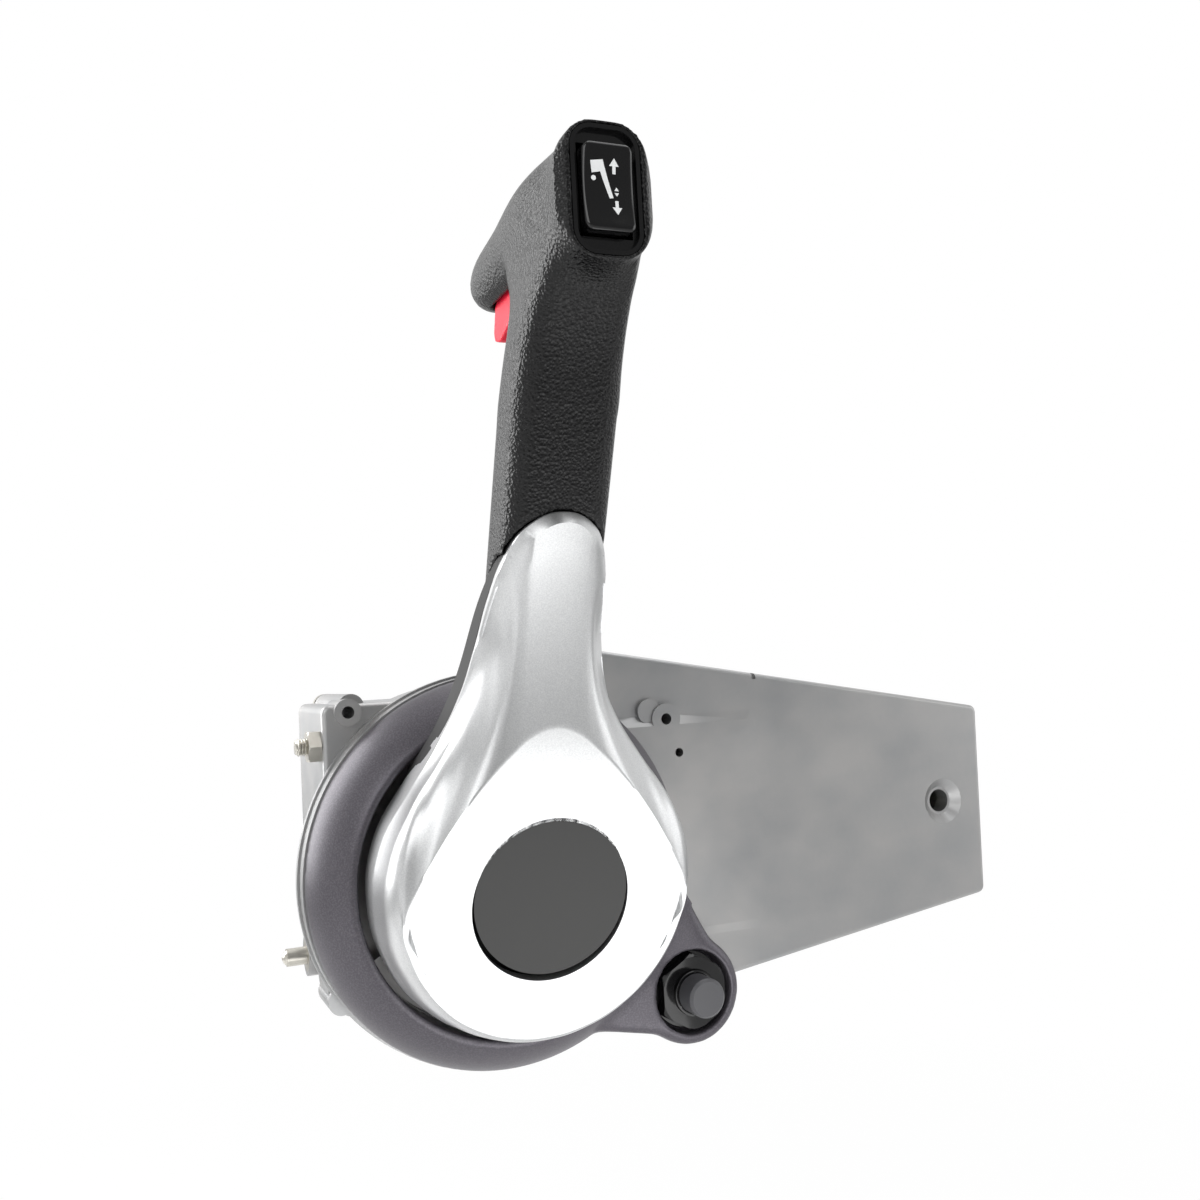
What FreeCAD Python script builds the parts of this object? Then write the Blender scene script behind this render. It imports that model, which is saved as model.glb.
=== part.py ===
import FreeCAD, Part
import math
import os

# Single lever engine control for mounting in a side panel, all sizes in millimetres.
# X points aft, Y points into the panel, Z points up. The origin lies on the lever's
# turning axis, in the plane of the faces that bear against the back of the panel.

V = FreeCAD.Vector
AXIS_Y = V(0, 1, 0)
AXIS_X = V(1, 0, 0)

# Clearances
RUN_GAP = 0.05
SEAT_GAP = 0.05
FREE_GAP = 0.3

# Panel seat and rim
PANEL_T = 6.0
RIM_R = 67.4
RIM_BORE_R = 53.0
SHOULDER_R = 68.2
BODY_R = 64.0

# Cast housing
PLATE_Y = 2.5
PLATE_T = 3.0
BODY_DEPTH = 47.5
WALL = 3.0
CORNER_R = 3.0
FRONT_ROUND = 1.8
LEFT_X = 6.5 - BODY_R
LEFT_TOP_Z = 59.8
LEFT_LOW_Z = -20.0
TRAY_TOP = [(22.0, 77.8), (216.0, 42.4)]
TRAY_LOW = [(214.0, -35.0), (16.0, -61.6)]
PAD_END_X = 106.0
PAD_TOP_Z = 44.5
PAD_LOW_Z = -31.5
PAD_SLOPE = 4.0
LUG_R = 4.6
TOP_NOTCH_X = 109.2
TAP_R = 2.1
TAP_DEPTH = 16.0
UPPER_LUG = (LEFT_X + 8.5, 57.0)
LOWER_LUG_ANGLE = 214.6
PAD_LUG = (69.4, 46.8)
PAD_LOBE = (62.8, 50.0)
AFT_HOLE = (195.5, 4.3)
AFT_HOLE_R = 4.6
AFT_DISH_R = 9.4
AFT_DISH_DEPTH = 3.0
AFT_BOSS_R = 10.5
AFT_BOSS_LENGTH = 7.0
TRIM_HOLES = [(74.0, 34.0), (72.0, -22.0)]
TRIM_HOLE_R = 1.65
RIB_T = 2.5

# Rear cover and its screws
COVER_T = 2.5
COLUMN_R = 4.5
COLUMN_TAP_DEPTH = 12.0
COVER_COLUMNS = [(LEFT_X + 10.5, 58.6), (30.0, 66.0), (95.0, 55.5), (203.0, 34.0), (203.0, -27.0), (95.0, -44.0),
                 (-16.0, -54.0)]
COVER_SCREW_R = 2.5
COVER_HEAD_R = 4.4
COVER_HEAD_H = 3.0

# Main shaft and its bearings
SHAFT_R = 9.0
SHAFT_NOSE_Y = -40.0
REAR_BOSS_WALL = 6.0
REAR_JOURNAL_R = 7.0
REAR_JOURNAL_LENGTH = 5.0
BEARING_BOSS_R = 17.0
BEARING_NOSE_Y = -13.0
BUSH_WALL = 2.5
BUSH_FLANGE_R = 14.5
BUSH_FLANGE_T = 2.0

# Gear train to the shift arm
MODULE = 1.75
PINION_TEETH = 16
SECTOR_TEETH = 40
BACKLASH = 0.3
GEAR_Y = 25.0
GEAR_T = 6.0
SECTOR_HALF_ANGLE = 52.0
PRESSURE_ANGLE = 20.0
PIVOT_R = 5.0
PIVOT_BOSS_R = 8.0
PIVOT_HEAD_R = 7.5
SPACER_R = 6.8
ARM_HUB_R = 9.0
ARM_T = 4.0
SHIFT_ARM_LENGTH = 48.0
ARM_END_R = 6.0
CABLE_PIN_R = 3.0
CABLE_PIN_LENGTH = 11.0

# Friction drum with its shoe, detent wheel with its plunger
DRUM_R = 34.0
DRUM_Y = 6.5
DRUM_T = 6.0
WHEEL_R = 38.0
WHEEL_Y = 17.0
WHEEL_T = 6.0
DETENT_TIP_R = 4.5
DETENT_NOTCH_DEPTH = 2.4
DETENT_STEM = 9.0
DETENT_TRAVEL = 2.0
DETENT_STEP = 30.0
DETENT_Z = -25.5
FRICTION_Z = 46.0
SHOE_T = 5.0
SHOE_START = 112.0
SHOE_END = 150.0
STUD_R = 3.0
STUD_NUT_AF = 10.0
STUD_NUT_T = 4.3
STUD_BOSS_R = 7.0
DETENT_SEAT_X = LEFT_X - 5.5
STUD_REACH = 8.2
DETENT_BARREL_R = 5.5
DETENT_BARREL_WALL = 1.2

# Throttle cam and arm
LEVER_RANGE = (-90.0, 66.0)
CAM_Y = 37.5
CAM_T = 4.0
CAM_HUB_R = 16.0
THROTTLE_RATIO = -0.3
THROTTLE_ARM_Y = 42.0
THROTTLE_ARM_LENGTH = 40.0
ROLLER_ARM = 24.0
ROLLER_ANGLE = 165.0
ROLLER_R = 3.5
ROLLER_PIN_R = 2.0
CAM_MARGIN = 3.0

# Neutral lock ring and rod
LOCK_RING_R = 29.0
LOCK_RING_T = 4.0
LOCK_NOTCH = 5.0
LOCK_ROD_R = 1.5
LOCK_ROD_BACK = 6.4
LOCK_KNEE_Z = 34.0

# Cable anchor block at the aft end
ANCHOR_LENGTH = 16.0
ANCHOR_X = AFT_HOLE[0] - AFT_BOSS_R - 1.0 - ANCHOR_LENGTH
ANCHOR_DEPTH = 40.0
ANCHOR_LOW_Z = -23.0
ANCHOR_TOP_Z = 37.0
CABLE_R = 4.4
SHIFT_CABLE = (25.5, 24.0)
THROTTLE_CABLE = (36.5, -13.0)
PORT_R = 6.5
ANCHOR_SCREW_R = 2.5

# Neutral switch
SWITCH_SIZE = (20.0, 8.5, 8.0)
SWITCH_NIB = 1.6
SWITCH_HOLE_R = 1.5

# Bezel with its boss for the stop switch
BEZEL_R = 66.9
BEZEL_LIP = 2.5
BEZEL_MOUTH_R = 53.0
BEZEL_HEIGHT = 19.0
BEZEL_WALL = 2.5
BEZEL_LAND = 1.8
STOP_X = 65.0
STOP_Z = -49.0
STOP_BOSS_R = 19.0
STOP_BOSS_HEIGHT = 13.0
STOP_POCKET_R = 14.6
STOP_POCKET_DEPTH = 7.0
STOP_THREAD_R = 8.0
STOP_NUT_AF = 24.0
STOP_NUT_T = 6.0
STOP_WASHER_R = 13.6
STOP_WASHER_T = 1.5
PLUNGER_R = 6.8
PLUNGER_REACH = 9.0
PLUNGER_TRAVEL = 3.5
STOP_NOSE = 1.2
STOP_COLLAR = 2.5
STOP_SPRING_ROOM = 8.0

# Lever hub, covers and neck
FACE_TILT = 12.4
FACE_Y = -56.1
CAP_R = 25.0
CAP_DROP = 1.9
CAP_T = 4.0
CAP_TRAVEL = 4.0
CAP_GAP = 0.6
HUB_COVER_R = 50.8
COVER_REAR_Y = -24.0
RIM_OUTLINE = (HUB_COVER_R, 41.0, [(31.5, 45.0), (24.8, 60.0), (20.9, 75.0), (18.6, 90.0), (15.6, 102.0)],
               [(10.2, 110.2), (0.0, 113.6)])
RIM_DEPTHS = [(-51.0, -27.0), (0.0, -34.0), (30.0, -38.0), (56.0, -47.5), (80.0, -58.5), (97.0, -71.5),
              (114.0, -83.6)]
CREASE_OUTLINE = (HUB_COVER_R - 1.0, 38.0, [(30.4, 44.0), (23.4, 58.0), (18.8, 73.0), (15.9, 88.0), (12.8, 99.5)],
                  [(8.0, 107.0), (0.0, 110.0)])
CREASE_DEPTHS = [(-51.0, -31.0), (-20.0, -36.0), (0.0, -41.5), (20.0, -45.0), (40.0, -47.0), (53.0, -50.0),
                 (68.0, -56.0), (80.0, -63.5), (95.0, -74.0), (111.0, -86.4)]
FLANK_OUTLINE = (HUB_COVER_R - 2.0, 24.0, [(37.6, 30.5), (28.6, 42.5), (20.8, 54.0), (15.0, 65.0), (11.5, 73.0)],
                 [(7.0, 79.0), (0.0, 81.5)])
FLANK_DEPTHS = [(-51.0, -41.5), (0.0, -52.3), (20.0, -54.2), (33.0, -55.0), (46.0, -57.0), (57.0, -61.0),
                (68.0, -67.0), (82.0, -73.0)]
FACET_OUTLINE = (HUB_COVER_R - 4.0, -6.0, [(42.8, 5.0), (38.0, 13.5), (30.5, 24.8), (22.6, 34.5), (13.5, 43.5)],
                 [(8.0, 47.9), (0.0, 50.4)])
HUB_STEPS = 12
COVER_WALL = 2.6
BACK_PLATE_T = 2.0
LEVER_LEAN = 22.5
SHAFT_D = 24.0
SHAFT_CORNER_R = 8.0
LEAN_Y = -77.1
LEAN_Z = 131.4
GRIP_LOW_Z = 74.0
SHAFT_LEVELS = [GRIP_LOW_Z, 140.0, 150.0, 158.0, 165.0, 171.0, 176.0, 184.0, 192.0]
CORE_W = 16.0
CORE_D = 9.0
CORE_TOP_Z = 172.0
KNEE_Z = 86.0
COVER_BOSS_R = 4.0
COVER_BOSSES = [(-31.0, -23.0), (31.0, -23.0), (-23.0, 34.0), (23.0, 34.0)]
COVER_BOSS_TAP = 1.6
HUB_R = 20.0
HUB_BOLT_R = 4.0
HUB_BOLT_HEAD_AF = 13.0
HUB_BOLT_HEAD_H = 5.0
HUB_WASHER_R = 12.0
HUB_WASHER_T = 1.6
HUB_SPRING_LENGTH = 4.0

# Head of the grip
HEAD_FRONT_Y = -126.8
HEAD_BACK_Y = -32.0
HEAD_W = 29.0
ROCKER_Z = 193.0
ROCKER_W = 14.6
ROCKER_R = 12.2
ROCKER_DISH_R = 45.0
ROCKER_NOSE = 5.0
ROCKER_TAIL = 3.5
ROCKER_SWING = 7.0
ROCKER_PIN_R = 1.2
POCKET_W = 20.0
POCKET_H = 35.0
POCKET_R = 6.5
FRAME_FLOOR = 1.5
TRIGGER_LIFT = 7.0
TRIGGER_W = 13.0
LOCK_SPRING_R = 2.6
LOCK_SPRING_Y = -80.0
LOCK_SPRING_LENGTH = 4.0


def cylinder(r, y0, y1, x=0.0, z=0.0):
    return Part.makeCylinder(r, y1 - y0, V(x, y0, z), AXIS_Y)


def tube(r_out, r_in, y0, y1, x=0.0, z=0.0):
    return cylinder(r_out, y0, y1, x, z).cut(cylinder(r_in, y0, y1, x, z))


def cylinder_x(r, x0, x1, y, z):
    return Part.makeCylinder(r, x1 - x0, V(x0, y, z), AXIS_X)


def box(x0, x1, y0, y1, z0, z1):
    return Part.makeBox(x1 - x0, y1 - y0, z1 - z0, V(x0, y0, z0))


def fused(shapes):
    whole = shapes[0].multiFuse(shapes[1:]) if len(shapes) > 1 else shapes[0]
    return whole.removeSplitter()


def rounded_wire(points, radii):
    """Closed wire through the points, with each corner rounded by its radius."""
    count = len(points)
    ends = []
    for i, corner in enumerate(points):
        before = (points[i - 1] - corner).normalize()
        after = (points[(i + 1) % count] - corner).normalize()
        half = before.getAngle(after) / 2
        reach = radii[i] / math.tan(half)
        middle = (before + after).normalize() * (radii[i] / math.sin(half) - radii[i])
        ends.append((corner + before * reach, corner + middle, corner + after * reach))
    edges = []
    for i, (start, middle, end) in enumerate(ends):
        if radii[i] > 0:
            edges.append(Part.Arc(start, middle, end).toShape())
        following = ends[(i + 1) % count][0]
        if end.distanceToPoint(following) > 1e-6:
            edges.append(Part.LineSegment(end, following).toShape())
    return Part.Wire(edges)


def prism(points_xz, radius, y0, y1):
    points = [V(x, y0, z) for x, z in points_xz]
    wire = rounded_wire(points, [radius] * len(points))
    return Part.Face(wire).extrude(V(0, y1 - y0, 0))


def side_prism(points_yz, radius, half_width):
    points = [V(-half_width, y, z) for y, z in points_yz]
    wire = rounded_wire(points, [radius] * len(points))
    return Part.Face(wire).extrude(V(2 * half_width, 0, 0))


def hexagon(across_flats, y0, y1, x=0.0, z=0.0):
    corner_r = across_flats / math.sqrt(3)
    points = [(x + corner_r * math.cos(math.radians(a)), z + corner_r * math.sin(math.radians(a)))
              for a in range(30, 390, 60)]
    return prism(points, 0, y0, y1)


def polar(r, degrees, x=0.0, z=0.0):
    return (x + r * math.cos(math.radians(degrees)), z + r * math.sin(math.radians(degrees)))


# Housing

BACK_Y = PLATE_Y + BODY_DEPTH
INNER_Y = PLATE_Y + PLATE_T
PIVOT_X = MODULE * (PINION_TEETH + SECTOR_TEETH) / 2
LOWER_LUG = polar(BODY_R + TAP_R + 0.75, LOWER_LUG_ANGLE)
LUG_LENGTH = TAP_DEPTH + WALL
BEZEL_SCREW_R = 1.9
BEZEL_SCREW_CIRCLE = 57.6
BEZEL_SCREW_HEAD_R = 3.2
BEZEL_SCREW_ANGLES = [110.0, 235.0, 330.0]


def outline_parts(inset, y0, y1):
    """Body seen from the front: round about the lever axis, with a flat sided block at the left and the long tray."""
    disc = cylinder(BODY_R - inset, y0, y1).common(box(LEFT_X + inset, BODY_R, y0, y1, -BODY_R, BODY_R))
    left = prism([(LEFT_X + inset, LEFT_TOP_Z - inset), (LEFT_X / 3, LEFT_TOP_Z - inset),
                  (LEFT_X / 3, LEFT_LOW_Z + inset), (LEFT_X + inset, LEFT_LOW_Z + inset)], CORNER_R, y0, y1)
    top, low = TRAY_TOP, TRAY_LOW
    tray = prism([(top[0][0] + inset, top[0][1] - inset), (top[1][0] - inset, top[1][1] - inset),
                  (low[0][0] - inset, low[0][1] + inset), (low[1][0] + inset, low[1][1] + inset)],
                 CORNER_R, y0, y1)
    return [disc, left, tray]


def housing_outline(inset, y0, y1):
    return fused(outline_parts(inset, y0, y1))


def front_rounded(part, y0):
    """Rounds the edges of a part's front face."""
    edges = [edge for edge in part.Edges if all(abs(v.Y - y0) < 0.01 for v in edge.Vertexes)]
    return part.makeFillet(FRONT_ROUND, edges)


def housing_block():
    """Solid body before it is hollowed, its front edges rounded."""
    disc, left, tray = outline_parts(0, PLATE_Y, BACK_Y)
    return fused([disc, front_rounded(left, PLATE_Y), front_rounded(tray, PLATE_Y)])


def pad_wire(grow, y):
    low_z, high_z, end_x = PAD_LOW_Z - grow, PAD_TOP_Z + grow, PAD_END_X + grow
    return rounded_wire([V(0, y, high_z), V(end_x, y, high_z), V(end_x, y, low_z), V(0, y, low_z)], [CORNER_R] * 4)


def pad():
    """Shoulder round the rim, and the raised pad beside it with sloping sides, which bear against the panel."""
    plateau = Part.makeLoft([pad_wire(0, 0), pad_wire(PAD_SLOPE, PLATE_Y + 0.01)], True, True)
    ear = cylinder(LUG_R + 1.2, 0, PLATE_Y, *PAD_LUG)
    lobe = cylinder(LUG_R, 0.8, PLATE_Y, *PAD_LOBE)
    return [fused([plateau, cylinder(SHOULDER_R, 0, PLATE_Y), ear, lobe])]


def bearing_boss():
    nose = cylinder(BEARING_BOSS_R, BEARING_NOSE_Y, INNER_Y)
    ribs = []
    for angle in (30, 90, 150, 210, 270, 330):
        rib = box(BEARING_BOSS_R - 2, RIM_BORE_R + 1, -PANEL_T, PLATE_Y, -RIB_T / 2, RIB_T / 2)
        rib.rotate(V(0, 0, 0), AXIS_Y, angle)
        ribs.append(rib)
    return [nose] + ribs


def lug_bosses():
    """Threaded bosses for the panel screws, and one on a web at the lower left, threaded from the back."""
    bosses = [cylinder(LUG_R, 0, LUG_LENGTH, x, z) for x, z in (UPPER_LUG, LOWER_LUG)]
    bosses.append(cylinder(LUG_R, PLATE_Y, LUG_LENGTH, *PAD_LUG))
    web = prism([polar(LUG_R, 150, *LOWER_LUG), polar(BODY_R - 1, 195), polar(BODY_R - 9, 215),
                 polar(BODY_R - 1, 233), polar(LUG_R, 270, *LOWER_LUG)], 0, PLATE_Y, LUG_LENGTH)
    return bosses + [web]


def stud_bosses():
    return [cylinder_x(STUD_BOSS_R, DETENT_SEAT_X, LEFT_X + WALL + 8, DETENT_Y, DETENT_Z)]


def main_housing():
    shell = housing_block().cut(housing_outline(WALL, INNER_Y, BACK_Y + 1))
    rim = tube(RIM_R, RIM_BORE_R, -PANEL_T, PLATE_Y)
    columns = [cylinder(COLUMN_R, INNER_Y - 0.5, BACK_Y, x, z) for x, z in COVER_COLUMNS]
    aft_boss = cylinder(AFT_BOSS_R, INNER_Y - 0.5, INNER_Y + AFT_BOSS_LENGTH, *AFT_HOLE)
    pivot_boss = cylinder(PIVOT_BOSS_R, INNER_Y - 0.5, GEAR_Y - FREE_GAP, PIVOT_X, 0)
    body = fused([shell, rim, aft_boss, pivot_boss] + pad() + columns + bearing_boss() + lug_bosses() + stud_bosses())
    cuts = [cylinder(SHAFT_R + BUSH_WALL + SEAT_GAP, BEARING_NOSE_Y - 1, INNER_Y + 1)]
    cuts += [cylinder(TAP_R, -1, TAP_DEPTH, x, z) for x, z in (UPPER_LUG, PAD_LUG)]
    cuts.append(cylinder(TAP_R, PLATE_Y, LUG_LENGTH + 1, *LOWER_LUG))
    cuts += [cylinder(TRIM_HOLE_R, -1, INNER_Y + 1, x, z) for x, z in TRIM_HOLES]
    cuts += [cylinder(TAP_R, BACK_Y - COLUMN_TAP_DEPTH, BACK_Y + 1, x, z) for x, z in COVER_COLUMNS]
    cuts.append(cylinder(AFT_HOLE_R, 0, INNER_Y + AFT_BOSS_LENGTH + 1, *AFT_HOLE))
    cuts.append(Part.makeCone(AFT_DISH_R + 1, AFT_HOLE_R + 1, AFT_DISH_DEPTH + 1,
                              V(AFT_HOLE[0], PLATE_Y - 1, AFT_HOLE[1]), AXIS_Y))
    cuts.append(box(TOP_NOTCH_X - 0.8, TOP_NOTCH_X + 0.8, PLATE_Y - 1, PLATE_Y + 1.6, PAD_TOP_Z + 15.0, LEFT_TOP_Z + 20.0))
    cuts.append(cylinder(PIVOT_R + SEAT_GAP, INNER_Y - 2, GEAR_Y, PIVOT_X, 0))
    cuts.append(cylinder_x(STUD_R + SEAT_GAP, LEFT_X - 1, LEFT_X + WALL + 1, FRICTION_Y, FRICTION_Z))
    cuts.append(cylinder_x(DETENT_BARREL_R + SEAT_GAP, DETENT_SEAT_X - 1, detent_tip_x() - 1, DETENT_Y, DETENT_Z))
    for cable_y, cable_z in (SHIFT_CABLE, THROTTLE_CABLE):
        cuts.append(cylinder_x(PORT_R, TRAY_LOW[0][0] - 2 * WALL, TRAY_TOP[1][0] + 2, cable_y, cable_z))
    for angle in BEZEL_SCREW_ANGLES:
        x, z = polar(BEZEL_SCREW_CIRCLE, angle)
        cuts.append(cylinder(BEZEL_SCREW_R + 0.3, -PANEL_T - 1, INNER_Y + 1, x, z))
    for x, z in anchor_screw_places():
        cuts.append(cylinder(ANCHOR_SCREW_R + SEAT_GAP, INNER_Y - 2, INNER_Y + 1, x, z))
    return body.cut(cuts[0].multiFuse(cuts[1:]))


def rear_cover():
    plate = housing_outline(0.5, BACK_Y, BACK_Y + COVER_T)
    ears = [cylinder(COLUMN_R - 0.5, BACK_Y, BACK_Y + COVER_T, x, z) for x, z in COVER_COLUMNS]
    boss = cylinder(REAR_JOURNAL_R + REAR_BOSS_WALL, BACK_Y - REAR_JOURNAL_LENGTH, BACK_Y + COVER_T)
    cuts = [cylinder(REAR_JOURNAL_R + BUSH_WALL / 2 + SEAT_GAP, BACK_Y - REAR_JOURNAL_LENGTH - 1, BACK_Y)]
    cuts += [cylinder(COVER_SCREW_R + 0.2, BACK_Y - 1, BACK_Y + COVER_T + 1, x, z) for x, z in COVER_COLUMNS]
    return fused([plate, boss] + ears).cut(cuts[0].multiFuse(cuts[1:]))


def cover_screws():
    screws = []
    for x, z in COVER_COLUMNS:
        head = cylinder(COVER_HEAD_R, BACK_Y + COVER_T, BACK_Y + COVER_T + COVER_HEAD_H, x, z)
        shank = cylinder(TAP_R - SEAT_GAP, BACK_Y - COLUMN_TAP_DEPTH + 2, BACK_Y + COVER_T, x, z)
        screws.append(head.fuse(shank))
    return Part.makeCompound(screws)


def front_bush():
    sleeve = tube(SHAFT_R + BUSH_WALL, SHAFT_R + RUN_GAP, BEARING_NOSE_Y, INNER_Y)
    flange = tube(BUSH_FLANGE_R, SHAFT_R + RUN_GAP, BEARING_NOSE_Y - BUSH_FLANGE_T, BEARING_NOSE_Y)
    return fused([sleeve, flange])


def rear_bush():
    return tube(REAR_JOURNAL_R + BUSH_WALL / 2, REAR_JOURNAL_R + RUN_GAP, BACK_Y - REAR_JOURNAL_LENGTH, BACK_Y)


# Main shaft and the pieces keyed to it

def main_shaft():
    front = cylinder(SHAFT_R, SHAFT_NOSE_Y, BACK_Y - REAR_JOURNAL_LENGTH - FREE_GAP)
    rear = cylinder(REAR_JOURNAL_R, BACK_Y - REAR_JOURNAL_LENGTH - FREE_GAP, BACK_Y - FREE_GAP)
    return front.fuse(rear).cut(cylinder(HUB_BOLT_R, SHAFT_NOSE_Y - 1, SHAFT_NOSE_Y + 20))


def involute(pressure):
    return math.tan(pressure) - pressure


def gear_points(teeth, numbers, turn):
    """Outline points of the numbered teeth of a spur gear, centre at zero, turned by an angle in degrees."""
    pitch_r = MODULE * teeth / 2
    base_r = pitch_r * math.cos(math.radians(PRESSURE_ANGLE))
    root_r = pitch_r - 1.25 * MODULE
    tip_r = pitch_r + MODULE
    half_at_pitch = math.pi / (2 * teeth) - BACKLASH / (4 * pitch_r)
    start = involute(math.radians(PRESSURE_ANGLE))
    radii = [max(base_r, root_r), (base_r + pitch_r) / 2 if base_r > root_r else pitch_r, pitch_r,
             (pitch_r + tip_r) / 2, tip_r]
    radii = sorted(set(radii))
    flank = []
    for r in radii:
        pressure = math.acos(min(1.0, base_r / r))
        flank.append((r, half_at_pitch + start - involute(pressure)))
    if root_r < base_r:
        flank.insert(0, (root_r, flank[0][1]))
    points = []
    for number in numbers:
        middle = math.radians(turn) + 2 * math.pi * number / teeth
        for r, half in flank:
            points.append((r * math.cos(middle - half), r * math.sin(middle - half)))
        for r, half in reversed(flank):
            points.append((r * math.cos(middle + half), r * math.sin(middle + half)))
    return points


def friction_drum():
    """Smooth drum with a shallow neutral notch for the switch at its foot."""
    drum = tube(DRUM_R, SHAFT_R, DRUM_Y, DRUM_Y + DRUM_T)
    notch = cylinder(DETENT_TIP_R, DRUM_Y - 1, DRUM_Y + DRUM_T + 1, 0, -DRUM_R - DETENT_TIP_R / 2)
    return drum.cut(notch)


def drive_gear():
    outline = gear_points(PINION_TEETH, range(PINION_TEETH), 0)
    blank = prism(outline, 0, GEAR_Y, GEAR_Y + GEAR_T)
    return blank.cut(cylinder(SHAFT_R, GEAR_Y - 1, GEAR_Y + GEAR_T + 1))


def detent_direction():
    reach = WHEEL_R + DETENT_TIP_R
    return 180 + math.degrees(math.asin(-DETENT_Z / reach))


def detent_wheel():
    wheel = tube(WHEEL_R, SHAFT_R, WHEEL_Y, WHEEL_Y + WHEEL_T)
    windows = []
    for angle in (20, 140, 260):
        x, z = polar((WHEEL_R + SHAFT_R) / 2 + 1, angle)
        windows.append(cylinder(7.5, WHEEL_Y - 1, WHEEL_Y + WHEEL_T + 1, x, z))
    notches = []
    for step in (-DETENT_STEP, 0, DETENT_STEP):
        x, z = polar(WHEEL_R + DETENT_TIP_R - DETENT_NOTCH_DEPTH, detent_direction() + step)
        notches.append(cylinder(DETENT_TIP_R + FREE_GAP, WHEEL_Y - 1, WHEEL_Y + WHEEL_T + 1, x, z))
    return wheel.cut(windows[0].multiFuse(windows[1:] + notches))


def roller_in_cam_frame(lever_angle, side):
    """Centre of the roller seen from the cam at a lever angle, pushed out to one side of its path."""
    def centre(angle):
        follow = THROTTLE_RATIO * angle
        x, z = polar(ROLLER_ARM, ROLLER_ANGLE - follow, PIVOT_X, 0)
        turn = math.radians(angle)
        return V(x * math.cos(turn) - z * math.sin(turn), 0, x * math.sin(turn) + z * math.cos(turn))
    here = centre(lever_angle)
    along = (centre(lever_angle + 0.5) - centre(lever_angle - 0.5)).normalize()
    across = V(-along.z, 0, along.x)
    return here + across * side


def cam_path(side, low, high, count=9):
    steps = [low + (high - low) * i / (count - 1) for i in range(count)]
    return [roller_in_cam_frame(angle, side) for angle in steps]


def cam_band(half_width, low, high, y0, y1):
    """Band of constant width along the roller's path in the cam."""
    left = cam_path(half_width, low, high)
    right = list(reversed(cam_path(-half_width, low, high)))
    sides = []
    for points in (left, right):
        curve = Part.BSplineCurve()
        curve.interpolate(points)
        sides.append(curve.toShape())
    ends = [Part.LineSegment(left[-1], right[0]).toShape(), Part.LineSegment(right[-1], left[0]).toShape()]
    face = Part.Face(Part.Wire([sides[0], ends[0], sides[1], ends[1]]))
    face.translate(V(0, y0, 0))
    return face.extrude(V(0, y1 - y0, 0))


def throttle_cam():
    """Plate cam with a closed spiral slot for the roller, joined to its hub by three spokes."""
    low, high = LEVER_RANGE
    rim = cam_band(ROLLER_R + CAM_MARGIN, low, high, CAM_Y, CAM_Y + CAM_T)
    hub = cylinder(CAM_HUB_R, CAM_Y, CAM_Y + CAM_T)
    stops = [roller_in_cam_frame(angle, 0) for angle in (low, (low + high) / 2, high)]
    spokes = [box(0, stop.Length - ROLLER_R - 2, CAM_Y, CAM_Y + CAM_T, -4, 4) for stop in stops]
    for spoke, stop in zip(spokes, stops):
        spoke.rotate(V(0, 0, 0), AXIS_Y, -math.degrees(math.atan2(stop.z, stop.x)))
    ends = [cylinder(ROLLER_R + CAM_MARGIN, CAM_Y, CAM_Y + CAM_T, stop.x, stop.z) for stop in (stops[0], stops[2])]
    plate = fused([rim, hub] + spokes + ends)
    slot_r = ROLLER_R + FREE_GAP / 2
    slot = [cam_band(slot_r, low, high, CAM_Y - 1, CAM_Y + CAM_T + 1)]
    slot += [cylinder(slot_r, CAM_Y - 1, CAM_Y + CAM_T + 1, stop.x, stop.z) for stop in (stops[0], stops[2])]
    return plate.cut(slot[0].multiFuse(slot[1:])).cut(cylinder(SHAFT_R, CAM_Y - 1, CAM_Y + CAM_T + 1))


# Shift sector, shift arm and throttle arm on the pivot pin

def pivot_pin():
    stem = cylinder(PIVOT_R, INNER_Y - 1.5, THROTTLE_ARM_Y + ARM_T + 1.5, PIVOT_X, 0)
    head = cylinder(PIVOT_HEAD_R, THROTTLE_ARM_Y + ARM_T + 0.3, THROTTLE_ARM_Y + ARM_T + 1.8, PIVOT_X, 0)
    return stem.fuse(head)


def pivot_spacer():
    y0 = GEAR_Y + GEAR_T + ARM_T + FREE_GAP
    return tube(SPACER_R, PIVOT_R + SEAT_GAP, y0, THROTTLE_ARM_Y - FREE_GAP, PIVOT_X, 0)


def shift_sector():
    pitch_angle = 360 / SECTOR_TEETH
    middle = SECTOR_TEETH // 2
    reach = int(SECTOR_HALF_ANGLE / pitch_angle)
    numbers = range(middle - reach, middle + reach)
    teeth = gear_points(SECTOR_TEETH, numbers, pitch_angle / 2)
    teeth = [(PIVOT_X + x, z) for x, z in teeth]
    fan = prism(teeth + [polar(ARM_HUB_R, 250, PIVOT_X, 0), polar(ARM_HUB_R, 110, PIVOT_X, 0)],
                0, GEAR_Y, GEAR_Y + GEAR_T)
    hub = cylinder(ARM_HUB_R, GEAR_Y, GEAR_Y + GEAR_T, PIVOT_X, 0)
    return fused([fan, hub]).cut(cylinder(PIVOT_R + RUN_GAP, GEAR_Y - 1, GEAR_Y + GEAR_T + 1, PIVOT_X, 0))


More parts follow.
